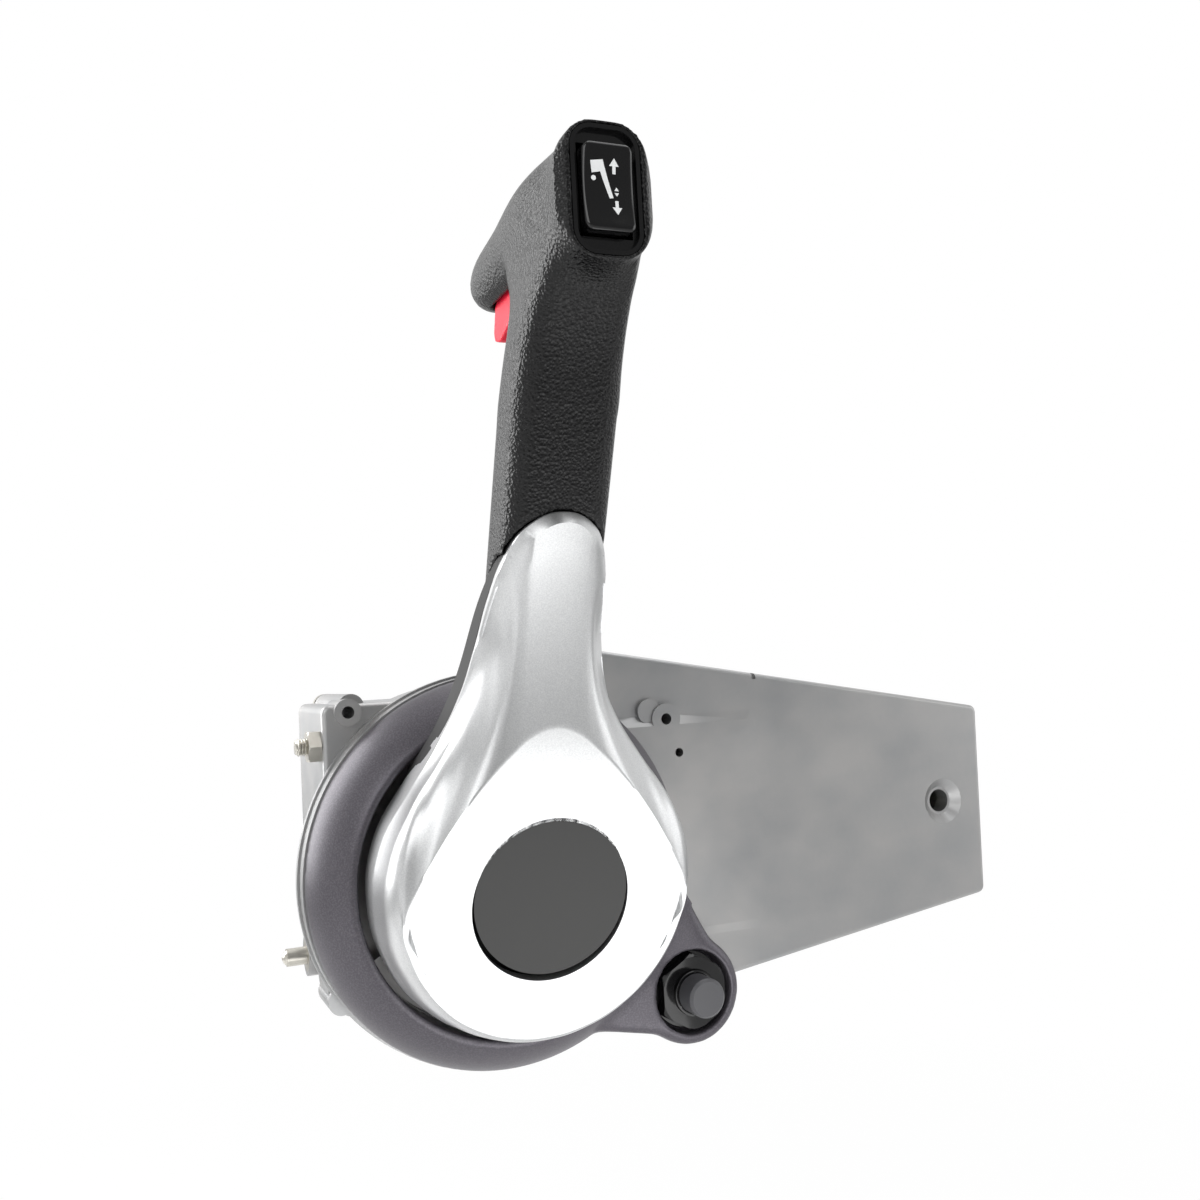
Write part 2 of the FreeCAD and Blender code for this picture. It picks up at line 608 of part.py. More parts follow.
def arm_plate(length, direction, y0, y1):
    """Tapered arm from the pivot to its cable end."""
    end_x, end_z = polar(length, direction, PIVOT_X, 0)
    side = math.degrees(math.acos((ARM_HUB_R - ARM_END_R) / length))
    points = [polar(ARM_HUB_R, direction - side, PIVOT_X, 0), polar(ARM_END_R, direction - side, end_x, end_z),
              polar(ARM_END_R, direction + side, end_x, end_z), polar(ARM_HUB_R, direction + side, PIVOT_X, 0)]
    web = prism(points, 0, y0, y1)
    return [web, cylinder(ARM_HUB_R, y0, y1, PIVOT_X, 0), cylinder(ARM_END_R, y0, y1, end_x, end_z)]


def shift_arm():
    y0 = GEAR_Y + GEAR_T
    plate = fused(arm_plate(SHIFT_ARM_LENGTH, 90, y0, y0 + ARM_T))
    return plate.cut(cylinder(PIVOT_R + RUN_GAP, y0 - 1, y0 + ARM_T + 1, PIVOT_X, 0))


def shift_cable_pin():
    x, z = polar(SHIFT_ARM_LENGTH, 90, PIVOT_X, 0)
    y1 = GEAR_Y + GEAR_T
    return cylinder(CABLE_PIN_R, y1 - CABLE_PIN_LENGTH, y1, x, z)


def throttle_arm():
    y0, y1 = THROTTLE_ARM_Y, THROTTLE_ARM_Y + ARM_T
    pieces = arm_plate(THROTTLE_ARM_LENGTH, 270, y0, y1) + arm_plate(ROLLER_ARM, ROLLER_ANGLE, y0, y1)
    return fused(pieces).cut(cylinder(PIVOT_R + RUN_GAP, y0 - 1, y1 + 1, PIVOT_X, 0))


def throttle_cable_pin():
    x, z = polar(THROTTLE_ARM_LENGTH, 270, PIVOT_X, 0)
    return cylinder(CABLE_PIN_R, THROTTLE_ARM_Y - CABLE_PIN_LENGTH, THROTTLE_ARM_Y, x, z)


def throttle_roller():
    x, z = polar(ROLLER_ARM, ROLLER_ANGLE, PIVOT_X, 0)
    roller = cylinder(ROLLER_R, CAM_Y, CAM_Y + CAM_T, x, z)
    return roller.fuse(cylinder(ROLLER_PIN_R, CAM_Y + CAM_T, THROTTLE_ARM_Y, x, z))


# Friction and detent adjusters in the left wall

FRICTION_Y = DRUM_Y + DRUM_T / 2 - 0.5
DETENT_Y = WHEEL_Y + WHEEL_T / 2
SHOE_LUG_X = -DRUM_R - 2.0


def friction_shoe():
    """Arc that lies round the drum, with a lug for the tip of its screw."""
    ring = tube(DRUM_R + FREE_GAP + SHOE_T, DRUM_R + FREE_GAP, DRUM_Y, DRUM_Y + DRUM_T)
    far = 2 * DRUM_R
    wedge = prism([(0, 0), polar(far, SHOE_START), polar(far, (SHOE_START + SHOE_END) / 2), polar(far, SHOE_END)],
                  0, DRUM_Y - 1, DRUM_Y + DRUM_T + 1)
    lug = box(SHOE_LUG_X, SHOE_LUG_X + 16, DRUM_Y, DRUM_Y + DRUM_T, DRUM_R / 2, FRICTION_Z + 4)
    lug = lug.cut(cylinder(DRUM_R + FREE_GAP, DRUM_Y - 1, DRUM_Y + DRUM_T + 1))
    return fused([ring.common(wedge), lug])


def friction_screw():
    x0 = LEFT_X - STUD_REACH
    body = cylinder_x(STUD_R, x0, SHOE_LUG_X - SEAT_GAP, FRICTION_Y, FRICTION_Z)
    slot = box(x0 - 1, x0 + 1.5, FRICTION_Y - STUD_R - 1, FRICTION_Y + STUD_R + 1, FRICTION_Z - 0.5, FRICTION_Z + 0.5)
    return body.cut(slot)


def hexagon_x(across_flats, x0, x1, y, z):
    corner_r = across_flats / math.sqrt(3)
    points = [V(x0, y + corner_r * math.cos(math.radians(a)), z + corner_r * math.sin(math.radians(a)))
              for a in range(0, 360, 60)]
    return Part.Face(Part.makePolygon(points + [points[0]])).extrude(V(x1 - x0, 0, 0))


def friction_locknut():
    nut = hexagon_x(STUD_NUT_AF, LEFT_X - STUD_NUT_T, LEFT_X, FRICTION_Y, FRICTION_Z)
    cone = Part.makeCone(STUD_NUT_AF / 2 + 0.2, STUD_NUT_AF / 2 + 0.2 + STUD_NUT_T, STUD_NUT_T,
                         V(LEFT_X - STUD_NUT_T, FRICTION_Y, FRICTION_Z), AXIS_X)
    bore = cylinder_x(STUD_R + SEAT_GAP, LEFT_X - STUD_NUT_T - 1, LEFT_X + 1, FRICTION_Y, FRICTION_Z)
    return nut.common(cone).cut(bore)


def detent_tip_x():
    return -math.sqrt((WHEEL_R + DETENT_TIP_R + FREE_GAP) ** 2 - DETENT_Z ** 2)


def detent_barrel():
    """Screwed barrel with a domed stud outside and an open bore towards the wheel."""
    x1 = detent_tip_x() - 3
    barrel = cylinder_x(DETENT_BARREL_R, DETENT_SEAT_X, x1, DETENT_Y, DETENT_Z)
    bore = cylinder_x(DETENT_BARREL_R - DETENT_BARREL_WALL, DETENT_SEAT_X + 3, x1 + 1, DETENT_Y, DETENT_Z)
    stud = cylinder_x(STUD_R, DETENT_SEAT_X - STUD_REACH + STUD_R / 2, DETENT_SEAT_X + 1, DETENT_Y, DETENT_Z)
    dome = Part.makeSphere(STUD_R, V(DETENT_SEAT_X - STUD_REACH + STUD_R, DETENT_Y, DETENT_Z))
    return fused([barrel, stud.fuse(dome)]).cut(bore)


def detent_plunger():
    x1 = detent_tip_x()
    r = DETENT_BARREL_R - DETENT_BARREL_WALL - RUN_GAP
    stem = cylinder_x(r, x1 - DETENT_STEM, x1, DETENT_Y, DETENT_Z)
    tip = Part.makeSphere(DETENT_TIP_R, V(x1, DETENT_Y, DETENT_Z))
    keep = cylinder_x(r, x1 - DETENT_STEM, x1 + DETENT_TIP_R, DETENT_Y, DETENT_Z)
    return stem.fuse(tip.common(keep))


def detent_spring():
    """Spring at its closed length, which leaves the plunger its travel."""
    x0 = DETENT_SEAT_X + 3
    x1 = detent_tip_x() - DETENT_STEM - DETENT_TRAVEL - FREE_GAP
    outer = DETENT_BARREL_R - DETENT_BARREL_WALL - 0.3
    return cylinder_x(outer, x0, x1, DETENT_Y, DETENT_Z).cut(cylinder_x(outer - 1, x0, x1, DETENT_Y, DETENT_Z))


# Cable anchor and neutral switch

def anchor_screw_places():
    middle = ANCHOR_X + ANCHOR_LENGTH / 2
    return [(middle, 6.5), (middle, ANCHOR_TOP_Z - 4.5)]


def cable_anchor():
    block = prism([(ANCHOR_X, ANCHOR_LOW_Z), (ANCHOR_X + ANCHOR_LENGTH, ANCHOR_LOW_Z),
                   (ANCHOR_X + ANCHOR_LENGTH, ANCHOR_TOP_Z), (ANCHOR_X, ANCHOR_TOP_Z)],
                  1.5, INNER_Y, INNER_Y + ANCHOR_DEPTH)
    cuts = [cylinder_x(CABLE_R, ANCHOR_X - 1, ANCHOR_X + ANCHOR_LENGTH + 1, y, z)
            for y, z in (SHIFT_CABLE, THROTTLE_CABLE)]
    cuts += [cylinder(ANCHOR_SCREW_R + 0.2, INNER_Y - 1, INNER_Y + ANCHOR_DEPTH + 1, x, z)
             for x, z in anchor_screw_places()]
    return block.cut(cuts[0].multiFuse(cuts[1:]))


def anchor_screws():
    screws = []
    for x, z in anchor_screw_places():
        top = INNER_Y + ANCHOR_DEPTH
        shank = cylinder(ANCHOR_SCREW_R, INNER_Y - 1.8, top, x, z)
        screws.append(shank.fuse(cylinder(COVER_HEAD_R - 0.6, top, top + 2.5, x, z)))
    return Part.makeCompound(screws)


def neutral_switch():
    """Small snap switch on the plate, its nib under the drum's neutral notch."""
    length, depth, height = SWITCH_SIZE
    top = -DRUM_R - FREE_GAP - SWITCH_NIB
    body = box(-length / 2, length / 2, INNER_Y, INNER_Y + depth, top - height, top)
    middle = DRUM_Y + DRUM_T / 2
    nib = box(-1.5, 1.5, middle - 2, middle + 2, top, top + SWITCH_NIB)
    terminals = [box(length / 2, length / 2 + 4, middle - 0.4, middle + 0.4, top - s, top - s + 2) for s in (3, 7)]
    holes = [cylinder(SWITCH_HOLE_R, INNER_Y - 1, INNER_Y + depth + 1, x, z) for x, z in switch_screw_places()]
    return fused([body, nib] + terminals).cut(holes[0].fuse(holes[1]))


def switch_screw_places():
    length, _, height = SWITCH_SIZE
    z = -DRUM_R - FREE_GAP - SWITCH_NIB - height / 2
    return [(-length / 4, z), (length / 4, z)]


def neutral_switch_screws():
    top = INNER_Y + SWITCH_SIZE[1]
    screws = []
    for x, z in switch_screw_places():
        shank = cylinder(SWITCH_HOLE_R - SEAT_GAP, INNER_Y, top, x, z)
        screws.append(shank.fuse(cylinder(SWITCH_HOLE_R + 1.1, top, top + 2, x, z)))
    return Part.makeCompound(screws)


# Lock ring in front of the bearing

def lock_ring():
    """Fixed ring with a notch at its top that holds the lever in neutral."""
    ring = tube(LOCK_RING_R, BEARING_BOSS_R + SEAT_GAP, BEARING_NOSE_Y, BEARING_NOSE_Y + LOCK_RING_T)
    notch = box(-LOCK_ROD_R - FREE_GAP, LOCK_ROD_R + FREE_GAP, BEARING_NOSE_Y - 1, BEARING_NOSE_Y + LOCK_RING_T + 1,
                LOCK_RING_R - LOCK_NOTCH, LOCK_RING_R + 1)
    return ring.cut(notch)


# Bezel and stop switch

BEZEL_BACK_Y = -PANEL_T
BEZEL_TOP_Y = BEZEL_BACK_Y - BEZEL_HEIGHT


def bezel_profile(offset):
    """Half section of the flared ring: (radius, y) from the outer edge to the mouth."""
    edge_r, mouth_r = BEZEL_R - offset, BEZEL_MOUTH_R + BEZEL_LAND
    back, lip, top = BEZEL_BACK_Y, BEZEL_BACK_Y - BEZEL_LIP, BEZEL_TOP_Y + offset
    belly = V((edge_r + mouth_r) / 2 + 1.2, (lip + top) / 2 - 1.6, 0)
    return V(edge_r, back, 0), V(edge_r, lip + offset * 0.4, 0), belly, V(mouth_r, top, 0)


def revolved(edges):
    return Part.Face(Part.Wire(edges)).revolve(V(0, 0, 0), AXIS_Y, 360)


def bezel_solid(offset, inner_r):
    foot, lip, belly, top = bezel_profile(offset)
    inner_top = V(inner_r, top.y, 0)
    inner_foot = V(inner_r, foot.y, 0)
    return revolved([Part.LineSegment(foot, lip).toShape(), Part.Arc(lip, belly, top).toShape(),
                     Part.LineSegment(top, inner_top).toShape(), Part.LineSegment(inner_top, inner_foot).toShape(),
                     Part.LineSegment(inner_foot, foot).toShape()])


def stop_arm(inset, y0, y1):
    """Web from the ring to the round boss, with concave sides tangent to both."""
    direction = math.degrees(math.atan2(STOP_Z, STOP_X))
    reach = math.hypot(STOP_X, STOP_Z)
    boss_r, ring_r = STOP_BOSS_R - inset, BEZEL_R - inset
    near = [polar(ring_r - 3, direction + s, 0, 0) for s in (27, -27)]
    waist = [polar(1.0, direction, *polar(boss_r, direction + s, STOP_X, STOP_Z)) for s in (100, -100)]
    web = prism([near[0], waist[0], waist[1], near[1], polar(reach / 2, direction)], 0, y0, y1)
    return fused([web, cylinder(boss_r, y0, y1, STOP_X, STOP_Z)])


def bezel():
    boss_top = BEZEL_BACK_Y - STOP_BOSS_HEIGHT
    outer = fused([bezel_solid(0, BEZEL_MOUTH_R), stop_arm(0, boss_top, BEZEL_BACK_Y).cut(
        cylinder(BEZEL_MOUTH_R + BEZEL_LAND, boss_top - 1, BEZEL_BACK_Y + 1))])
    hollow = bezel_solid(BEZEL_WALL, BEZEL_MOUTH_R + BEZEL_WALL)
    shell = outer.cut(hollow)
    pads = []
    for angle in BEZEL_SCREW_ANGLES:
        x, z = polar(BEZEL_SCREW_CIRCLE, angle)
        pads.append(cylinder(3.6, BEZEL_BACK_Y - 9, BEZEL_BACK_Y, x, z))
    shell = fused([shell] + pads)
    cuts = [cylinder(STOP_POCKET_R, boss_top - 1, boss_top + STOP_POCKET_DEPTH, STOP_X, STOP_Z),
            cylinder(STOP_THREAD_R + 0.2, boss_top, BEZEL_BACK_Y + 1, STOP_X, STOP_Z)]
    for angle in BEZEL_SCREW_ANGLES:
        x, z = polar(BEZEL_SCREW_CIRCLE, angle)
        cuts.append(cylinder(BEZEL_SCREW_R, BEZEL_BACK_Y - 7, BEZEL_BACK_Y + 1, x, z))
    return shell.cut(cuts[0].multiFuse(cuts[1:]))


def bezel_screws():
    screws = []
    for angle in BEZEL_SCREW_ANGLES:
        x, z = polar(BEZEL_SCREW_CIRCLE, angle)
        shank = cylinder(BEZEL_SCREW_R - SEAT_GAP, BEZEL_BACK_Y - 6.5, INNER_Y, x, z)
        screws.append(shank.fuse(cylinder(BEZEL_SCREW_HEAD_R, INNER_Y, DRUM_Y, x, z)))
    return Part.makeCompound(screws)


STOP_SEAT_Y = BEZEL_BACK_Y - STOP_BOSS_HEIGHT + STOP_POCKET_DEPTH


def stop_switch_body():
    """Threaded barrel with a rear collar that clamps the bezel wall against the front nut."""
    nose_y = STOP_SEAT_Y - STOP_WASHER_T - STOP_NUT_T - STOP_NOSE
    barrel = tube(STOP_THREAD_R, PLUNGER_R + RUN_GAP, nose_y, BEZEL_BACK_Y, STOP_X, STOP_Z)
    rear = cylinder(STOP_THREAD_R + STOP_COLLAR, BEZEL_BACK_Y, -SEAT_GAP, STOP_X, STOP_Z)
    return fused([barrel, rear])


def stop_switch_washer():
    return tube(STOP_WASHER_R, STOP_THREAD_R + SEAT_GAP, STOP_SEAT_Y - STOP_WASHER_T, STOP_SEAT_Y, STOP_X, STOP_Z)


def stop_switch_nut():
    y1 = STOP_SEAT_Y - STOP_WASHER_T
    nut = hexagon(STOP_NUT_AF, y1 - STOP_NUT_T, y1, STOP_X, STOP_Z)
    cone = Part.makeCone(STOP_NUT_AF / 2 + 0.3, STOP_NUT_AF / 2 + 0.3 + STOP_NUT_T, STOP_NUT_T,
                         V(STOP_X, y1 - STOP_NUT_T, STOP_Z), AXIS_Y)
    return nut.common(cone).cut(cylinder(STOP_THREAD_R + SEAT_GAP, y1 - STOP_NUT_T - 1, y1 + 1, STOP_X, STOP_Z))


def stop_plunger():
    front = STOP_SEAT_Y - STOP_WASHER_T - STOP_NUT_T - STOP_NOSE - PLUNGER_REACH
    body = cylinder(PLUNGER_R, front, BEZEL_BACK_Y - STOP_SPRING_ROOM, STOP_X, STOP_Z)
    rim = [edge for edge in body.Edges if abs(edge.CenterOfMass.y - front) < 1e-6]
    return body.makeChamfer(1.0, rim)


def stop_spring():
    """Spring at its closed length, which leaves the plunger its travel."""
    y0 = BEZEL_BACK_Y - STOP_SPRING_ROOM + PLUNGER_TRAVEL + FREE_GAP
    return tube(PLUNGER_R - 0.6, PLUNGER_R - 1.6, y0, BEZEL_BACK_Y, STOP_X, STOP_Z)


# Lever covers

TILT = math.radians(FACE_TILT)
FACE_NORMAL = V(0, math.cos(TILT), math.sin(TILT))
FACE_UP = V(0, -math.sin(TILT), math.cos(TILT))
CAP_CENTRE = V(0, FACE_Y, 0) - FACE_UP * CAP_DROP
LEAN = math.radians(LEVER_LEAN)


def hub_rear_y():
    return BEARING_NOSE_Y - BUSH_FLANGE_T - FREE_GAP


def depth_between(points, z):
    """Depth at a height, on straight lines between given points."""
    for (z0, y0), (z1, y1) in zip(points, points[1:]):
        if z <= z1 or z1 == points[-1][0]:
            return y0 + (y1 - y0) * (z - z0) / (z1 - z0)


def spline(points):
    curve = Part.BSplineCurve()
    curve.interpolate(points)
    return curve.toShape()


def neck_wire(outline, inset, y_of):
    """Teardrop with a round hub and hollow flanks, shrunk by an inset, each point lifted to its own depth."""
    hub_r, join_angle, flank, crown = outline
    flank = [polar(hub_r - inset, join_angle)] + [(x - inset, z - inset / 2) for x, z in flank]
    mid, top = [(max(x - inset / 2, 0.0), z - inset) for x, z in crown]

    def lift(x, z):
        return V(x, y_of(z), z)

    right = spline([lift(x, z) for x, z in flank])
    left = spline([lift(-x, z) for x, z in reversed(flank)])
    low = flank[-1]
    arch = spline([lift(*low), lift(*mid), lift(*top), lift(-mid[0], mid[1]), lift(-low[0], low[1])])
    span = 180 + 2 * join_angle
    hub = spline([lift(*polar(hub_r - inset, 180 - join_angle + span * i / HUB_STEPS)) for i in range(HUB_STEPS + 1)])
    return Part.Wire([right, arch, left, hub])


def neck_solid(inset):
    """Whole outer form of the two lever covers: upright side, drafted rim, hollow flanks and the flat facet."""
    def at(depths):
        return lambda z: depth_between(depths, z) + inset

    def facet(z):
        return FACE_Y - z * math.tan(TILT) + inset

    base = neck_wire(RIM_OUTLINE, inset, lambda z: COVER_REAR_Y)
    side = neck_wire(RIM_OUTLINE, inset, at(RIM_DEPTHS))
    crease = neck_wire(CREASE_OUTLINE, inset, at(CREASE_DEPTHS))
    flank = neck_wire(FLANK_OUTLINE, inset, at(FLANK_DEPTHS))
    front = neck_wire(FACET_OUTLINE, inset, facet)
    walls = Part.makeLoft([base, side, crease], False, True).Faces
    walls += Part.makeLoft([crease, flank, front], False, False).Faces
    shell = Part.Shell([Part.Face(base), Part.Face(front)] + walls)
    shell.sewShape()
    return Part.Solid(shell)


def back_curve_cut(inset):
    """Space behind the neck: everything nearer the panel than its curved back."""
    points = [(COVER_REAR_Y - inset, 38.0), (-35.5 - inset, 58.0), (-48.5 - inset, 82.0),
              (-62.0 - inset, 98.0), (-90.0 - inset, 120.0)]
    return swept_region(points, 20.0)


def seam_cut(shift):
    """Space behind the seam between the front and the back cover."""
    points = [(COVER_REAR_Y + 1 + shift, 33.0), (-46.0 + shift, 56.0), (-57.0 + shift, 80.0),
              (-68.5 + shift, 97.0), (-77.0 + shift, 108.0), (-83.5 + shift, 118.0)]
    return swept_region(points, 20.0)


def swept_region(points_yz, y_far):
    half = 60.0
    points = [V(-half, y, z) for y, z in points_yz]
    corner_top = V(-half, y_far, points[-1].z)
    corner_low = V(-half, y_far, points[0].z)
    edges = [spline(points), Part.LineSegment(points[-1], corner_top).toShape(),
             Part.LineSegment(corner_top, corner_low).toShape(), Part.LineSegment(corner_low, points[0]).toShape()]
    return Part.Face(Part.Wire(edges)).extrude(V(2 * half, 0, 0))


def neck_hollow():
    return neck_solid(COVER_WALL).cut(back_curve_cut(COVER_WALL))


def cap_space(r, front, back):
    """Cylinder square to the tilted face, from a distance in front of it to one behind it."""
    return Part.makeCylinder(r, front + back, CAP_CENTRE - FACE_NORMAL * front, FACE_NORMAL)


def front_cover():
    """Silver front shell with the hole for the hub button and four screw bosses inside."""
    form = neck_solid(0).cut(back_curve_cut(0)).cut(seam_cut(0))
    shell = form.cut(neck_hollow())
    bosses = [cylinder(COVER_BOSS_R, FACE_Y - 8, COVER_REAR_Y - BACK_PLATE_T, x, z) for x, z in COVER_BOSSES]
    shell = fused([shell] + [boss.common(form) for boss in bosses])
    cuts = [cylinder(COVER_BOSS_TAP, COVER_REAR_Y - 14, COVER_REAR_Y, x, z) for x, z in COVER_BOSSES]
    return shell.cut(cap_space(CAP_R + CAP_GAP, 5, 25)).cut(cuts[0].multiFuse(cuts[1:]))


def back_cover():
    """Black rear shell of the neck on a round plate, open for the core and the lock rod."""
    shell = neck_solid(0).cut(back_curve_cut(0)).common(seam_cut(SEAT_GAP)).cut(neck_hollow())
    plate = tube(HUB_COVER_R - COVER_WALL - FREE_GAP, HUB_R + RUN_GAP, COVER_REAR_Y - BACK_PLATE_T, COVER_REAR_Y)
    body = fused([shell, plate])
    slot = box(-LOCK_ROD_R - FREE_GAP, LOCK_ROD_R + FREE_GAP, COVER_REAR_Y - BACK_PLATE_T - 4, COVER_REAR_Y + 1,
               LOCK_RING_R, LOCK_RING_R + TRIGGER_LIFT + 5)
    holes = [cylinder(COVER_BOSS_TAP + 0.2, COVER_REAR_Y - 5, COVER_REAR_Y + 1, x, z) for x, z in COVER_BOSSES]
    core = lean_prism(CORE_W + 2 * FREE_GAP, CORE_D + 2 * FREE_GAP, FREE_GAP, GRIP_LOW_Z, 125.0)
    return body.cut(slot.multiFuse(holes + [core, rod_channel(LOCK_KNEE_Z + 10)]))


def lever_cover_screws():
    screws = []
    for x, z in COVER_BOSSES:
        shank = cylinder(COVER_BOSS_TAP - SEAT_GAP, COVER_REAR_Y - 12, COVER_REAR_Y, x, z)
        screws.append(shank.fuse(cylinder(COVER_BOSS_TAP * 2, COVER_REAR_Y, COVER_REAR_Y + 2, x, z)))
    return Part.makeCompound(screws)


def lean_point(z):
    """Point on the grip's leaning centre line at a height."""
    return V(0, LEAN_Y - (z - LEAN_Z) * math.tan(LEAN), z)


def lean_normal():
    """Direction square to the grip's centre line, away from the operator."""
    return V(0, math.cos(LEAN), math.sin(LEAN))


def lean_prism(width, depth, radius, low_z, high_z):
    """Rounded bar along the leaning centre line."""
    start, end = lean_point(low_z), lean_point(high_z)
    corners = [start + AXIS_X * (sx * width / 2) + lean_normal() * (sy * depth / 2)
               for sx, sy in ((-1, -1), (1, -1), (1, 1), (-1, 1))]
    return Part.Face(rounded_wire(corners, [radius] * 4)).extrude(end - start)


HEAD_SECTIONS = [(HEAD_FRONT_Y + 3.5, HEAD_W, 173.8, 211.6, 13.6), (-100.0, HEAD_W, 176.0, 211.2, 13.4),
                 (-75.0, HEAD_W - 1.6, 182.6, 208.8, 11.8), (-52.0, HEAD_W - 3.6, 183.0, 205.0, 10.2),
                 (-38.5, HEAD_W - 7.0, 185.2, 201.4, 7.6), (HEAD_BACK_Y, HEAD_W - 15.6, 189.5, 197.5, 3.8)]
SHAFT_WIDTHS = [(GRIP_LOW_Z, 33.0), (150.0, 33.0), (158.0, 32.4), (165.0, 31.6), (171.0, 30.2), (176.0, 28.8),
                (184.0, 28.0), (192.0, 26.0)]
SHAFT_FRONT = [(GRIP_LOW_Z, 0.0), (145.0, 0.2), (155.0, 1.0), (160.0, 2.2), (165.0, 4.2), (171.0, 7.8),
               (176.0, 12.5), (184.0, 10.0), (192.0, 6.5)]
SHAFT_REAR = [(GRIP_LOW_Z, 0.0), (165.0, 0.2), (172.0, 1.6), (178.0, 5.5), (184.0, 12.0), (192.0, 15.0)]
TRIGGER_POINTS = [(-97.5, 184.6), (-97.5, 191.0), (-52.5, 191.0), (-46.5, 184.0), (-44.0, 176.4), (-45.0, 173.5),
                  (-49.9, 172.1), (-62.0, 176.5), (-80.0, 178.5), (-84.0, 184.6)]


def head_section(y, width, low, high, radius):
    points = [V(-width / 2, y, low), V(width / 2, y, low), V(width / 2, y, high), V(-width / 2, y, high)]
    return rounded_wire(points, [radius] * 4)


def head_solid():
    """Bar of the T shaped grip, with a short domed end round the switch pocket."""
    low, high = ROCKER_Z - POCKET_H / 2 - 1.0, ROCKER_Z + POCKET_H / 2 + 1.0
    end = head_section(HEAD_FRONT_Y, POCKET_W + 3.0, low, high, POCKET_R + 1.2)
    bar = [head_section(*section) for section in HEAD_SECTIONS]
    return Part.makeLoft([end, bar[0]], True, True).fuse(Part.makeLoft(bar, True, False))


def pocket_prism(shrink, y0, y1):
    half_w, half_h = POCKET_W / 2 - shrink, POCKET_H / 2 - shrink
    return prism([(-half_w, ROCKER_Z - half_h), (half_w, ROCKER_Z - half_h), (half_w, ROCKER_Z + half_h),
                  (-half_w, ROCKER_Z + half_h)], POCKET_R - shrink, y0, y1)


def rocker_pivot_y():
    return HEAD_FRONT_Y + ROCKER_NOSE


def pocket_floor_y():
    swing = math.sin(math.radians(ROCKER_SWING)) * ROCKER_R
    return rocker_pivot_y() + ROCKER_TAIL + swing + FREE_GAP + FRAME_FLOOR


def grip_shaft():
    """Leaning handle that flares into the head: a thumb scoop in front and a web behind."""
    half = SHAFT_D / 2 / math.cos(LEAN)
    sections = []
    for z in SHAFT_LEVELS:
        middle = lean_point(z).y
        front = middle - half - depth_between(SHAFT_FRONT, z)
        rear = middle + half + depth_between(SHAFT_REAR, z)
        side = depth_between(SHAFT_WIDTHS, z) / 2
        corners = [V(-side, front, z), V(side, front, z), V(side, rear, z), V(-side, rear, z)]
        sections.append(rounded_wire(corners, [SHAFT_CORNER_R] * 4))
    return fused([Part.makeLoft(sections[:2], True, True), Part.makeLoft(sections[1:-2], True, False),
                  Part.makeLoft(sections[-3:], True, True)])


def trigger_prism(grow, lift):
    shape = side_prism(TRIGGER_POINTS, 0, TRIGGER_W / 2 + grow)
    shape.translate(V(0, -math.sin(LEAN), math.cos(LEAN)) * lift)
    return shape


def trigger_slot():
    """Space that the trigger needs inside the head over its whole travel."""
    top = TRIGGER_POINTS[1][1] + TRIGGER_LIFT * math.cos(LEAN) + FREE_GAP
    front = TRIGGER_POINTS[0][0] - TRIGGER_LIFT * math.sin(LEAN) - FREE_GAP
    points = [(TRIGGER_POINTS[0][0] - 2 * FREE_GAP, TRIGGER_POINTS[0][1] - FREE_GAP), (front, 190.0), (front, top),
              (-51.0, top), (-48.0, 191.0), (-43.3, 177.5), (-43.3, 168.0), (-84.6, 168.0), (-84.6, 184.3)]
    return side_prism(points, 0, TRIGGER_W / 2 + FREE_GAP)


def rod_channel(low_z):
    return lean_prism_at(2 * LOCK_ROD_R + 2 * FREE_GAP, low_z, 200.0)


def lean_prism_at(width, low_z, high_z):
    bar = lean_prism(width, width, width / 3, low_z, high_z)
    bar.translate(lean_normal() * LOCK_ROD_BACK)
    return bar


def lock_spring_space(grow):
    top = TRIGGER_POINTS[1][1] + TRIGGER_LIFT * math.cos(LEAN) + FREE_GAP
    return Part.makeCylinder(LOCK_SPRING_R + grow, LOCK_SPRING_LENGTH, V(0, LOCK_SPRING_Y, top))


def grip():
    body = fused([grip_shaft(), head_solid()])
    neck = neck_solid(-FREE_GAP).cut(back_curve_cut(-FREE_GAP))
    core = lean_prism(CORE_W + 2 * SEAT_GAP, CORE_D + 2 * SEAT_GAP, 1.8, GRIP_LOW_Z - 5, CORE_TOP_Z + 2)
    body = body.cut(neck).cut(core).cut(pocket_prism(-SEAT_GAP, HEAD_FRONT_Y - 2, pocket_floor_y()))
    return body.cut(trigger_slot()).cut(rod_channel(GRIP_LOW_Z - 5)).cut(lock_spring_space(SEAT_GAP))


def lever_arm():
    """Cast core: hub boss on the shaft, knee inside the covers and bar up through the grip."""
    hub = cylinder(HUB_R, SHAFT_NOSE_Y, hub_rear_y())
    joint = lean_point(KNEE_Z)
    rear, front = joint + lean_normal() * (CORE_D / 2), joint - lean_normal() * (CORE_D / 2)
    knee = side_prism([(SHAFT_NOSE_Y, 0), (-28.0, 0), (-30.0, 22.0), (-35.0, 38.0), (rear.y, rear.z),
                       (front.y, front.z), (-50.0, 40.0), (SHAFT_NOSE_Y, HUB_WASHER_R + 1)], 0, CORE_W / 2)
    bar = lean_prism(CORE_W, CORE_D, 1.8, KNEE_Z, CORE_TOP_Z)
    body = fused([hub, knee, bar])
    return body.cut(cylinder(SHAFT_R, SHAFT_NOSE_Y - 1, hub_rear_y() + 1)).cut(neck_shell_space())


def neck_shell_space():
    """Outside of the covers' hollow, kept clear of the core near the neck."""
    around = box(-60, 60, -100, COVER_REAR_Y - BACK_PLATE_T, -60, 78)
    return around.cut(neck_solid(COVER_WALL + FREE_GAP))


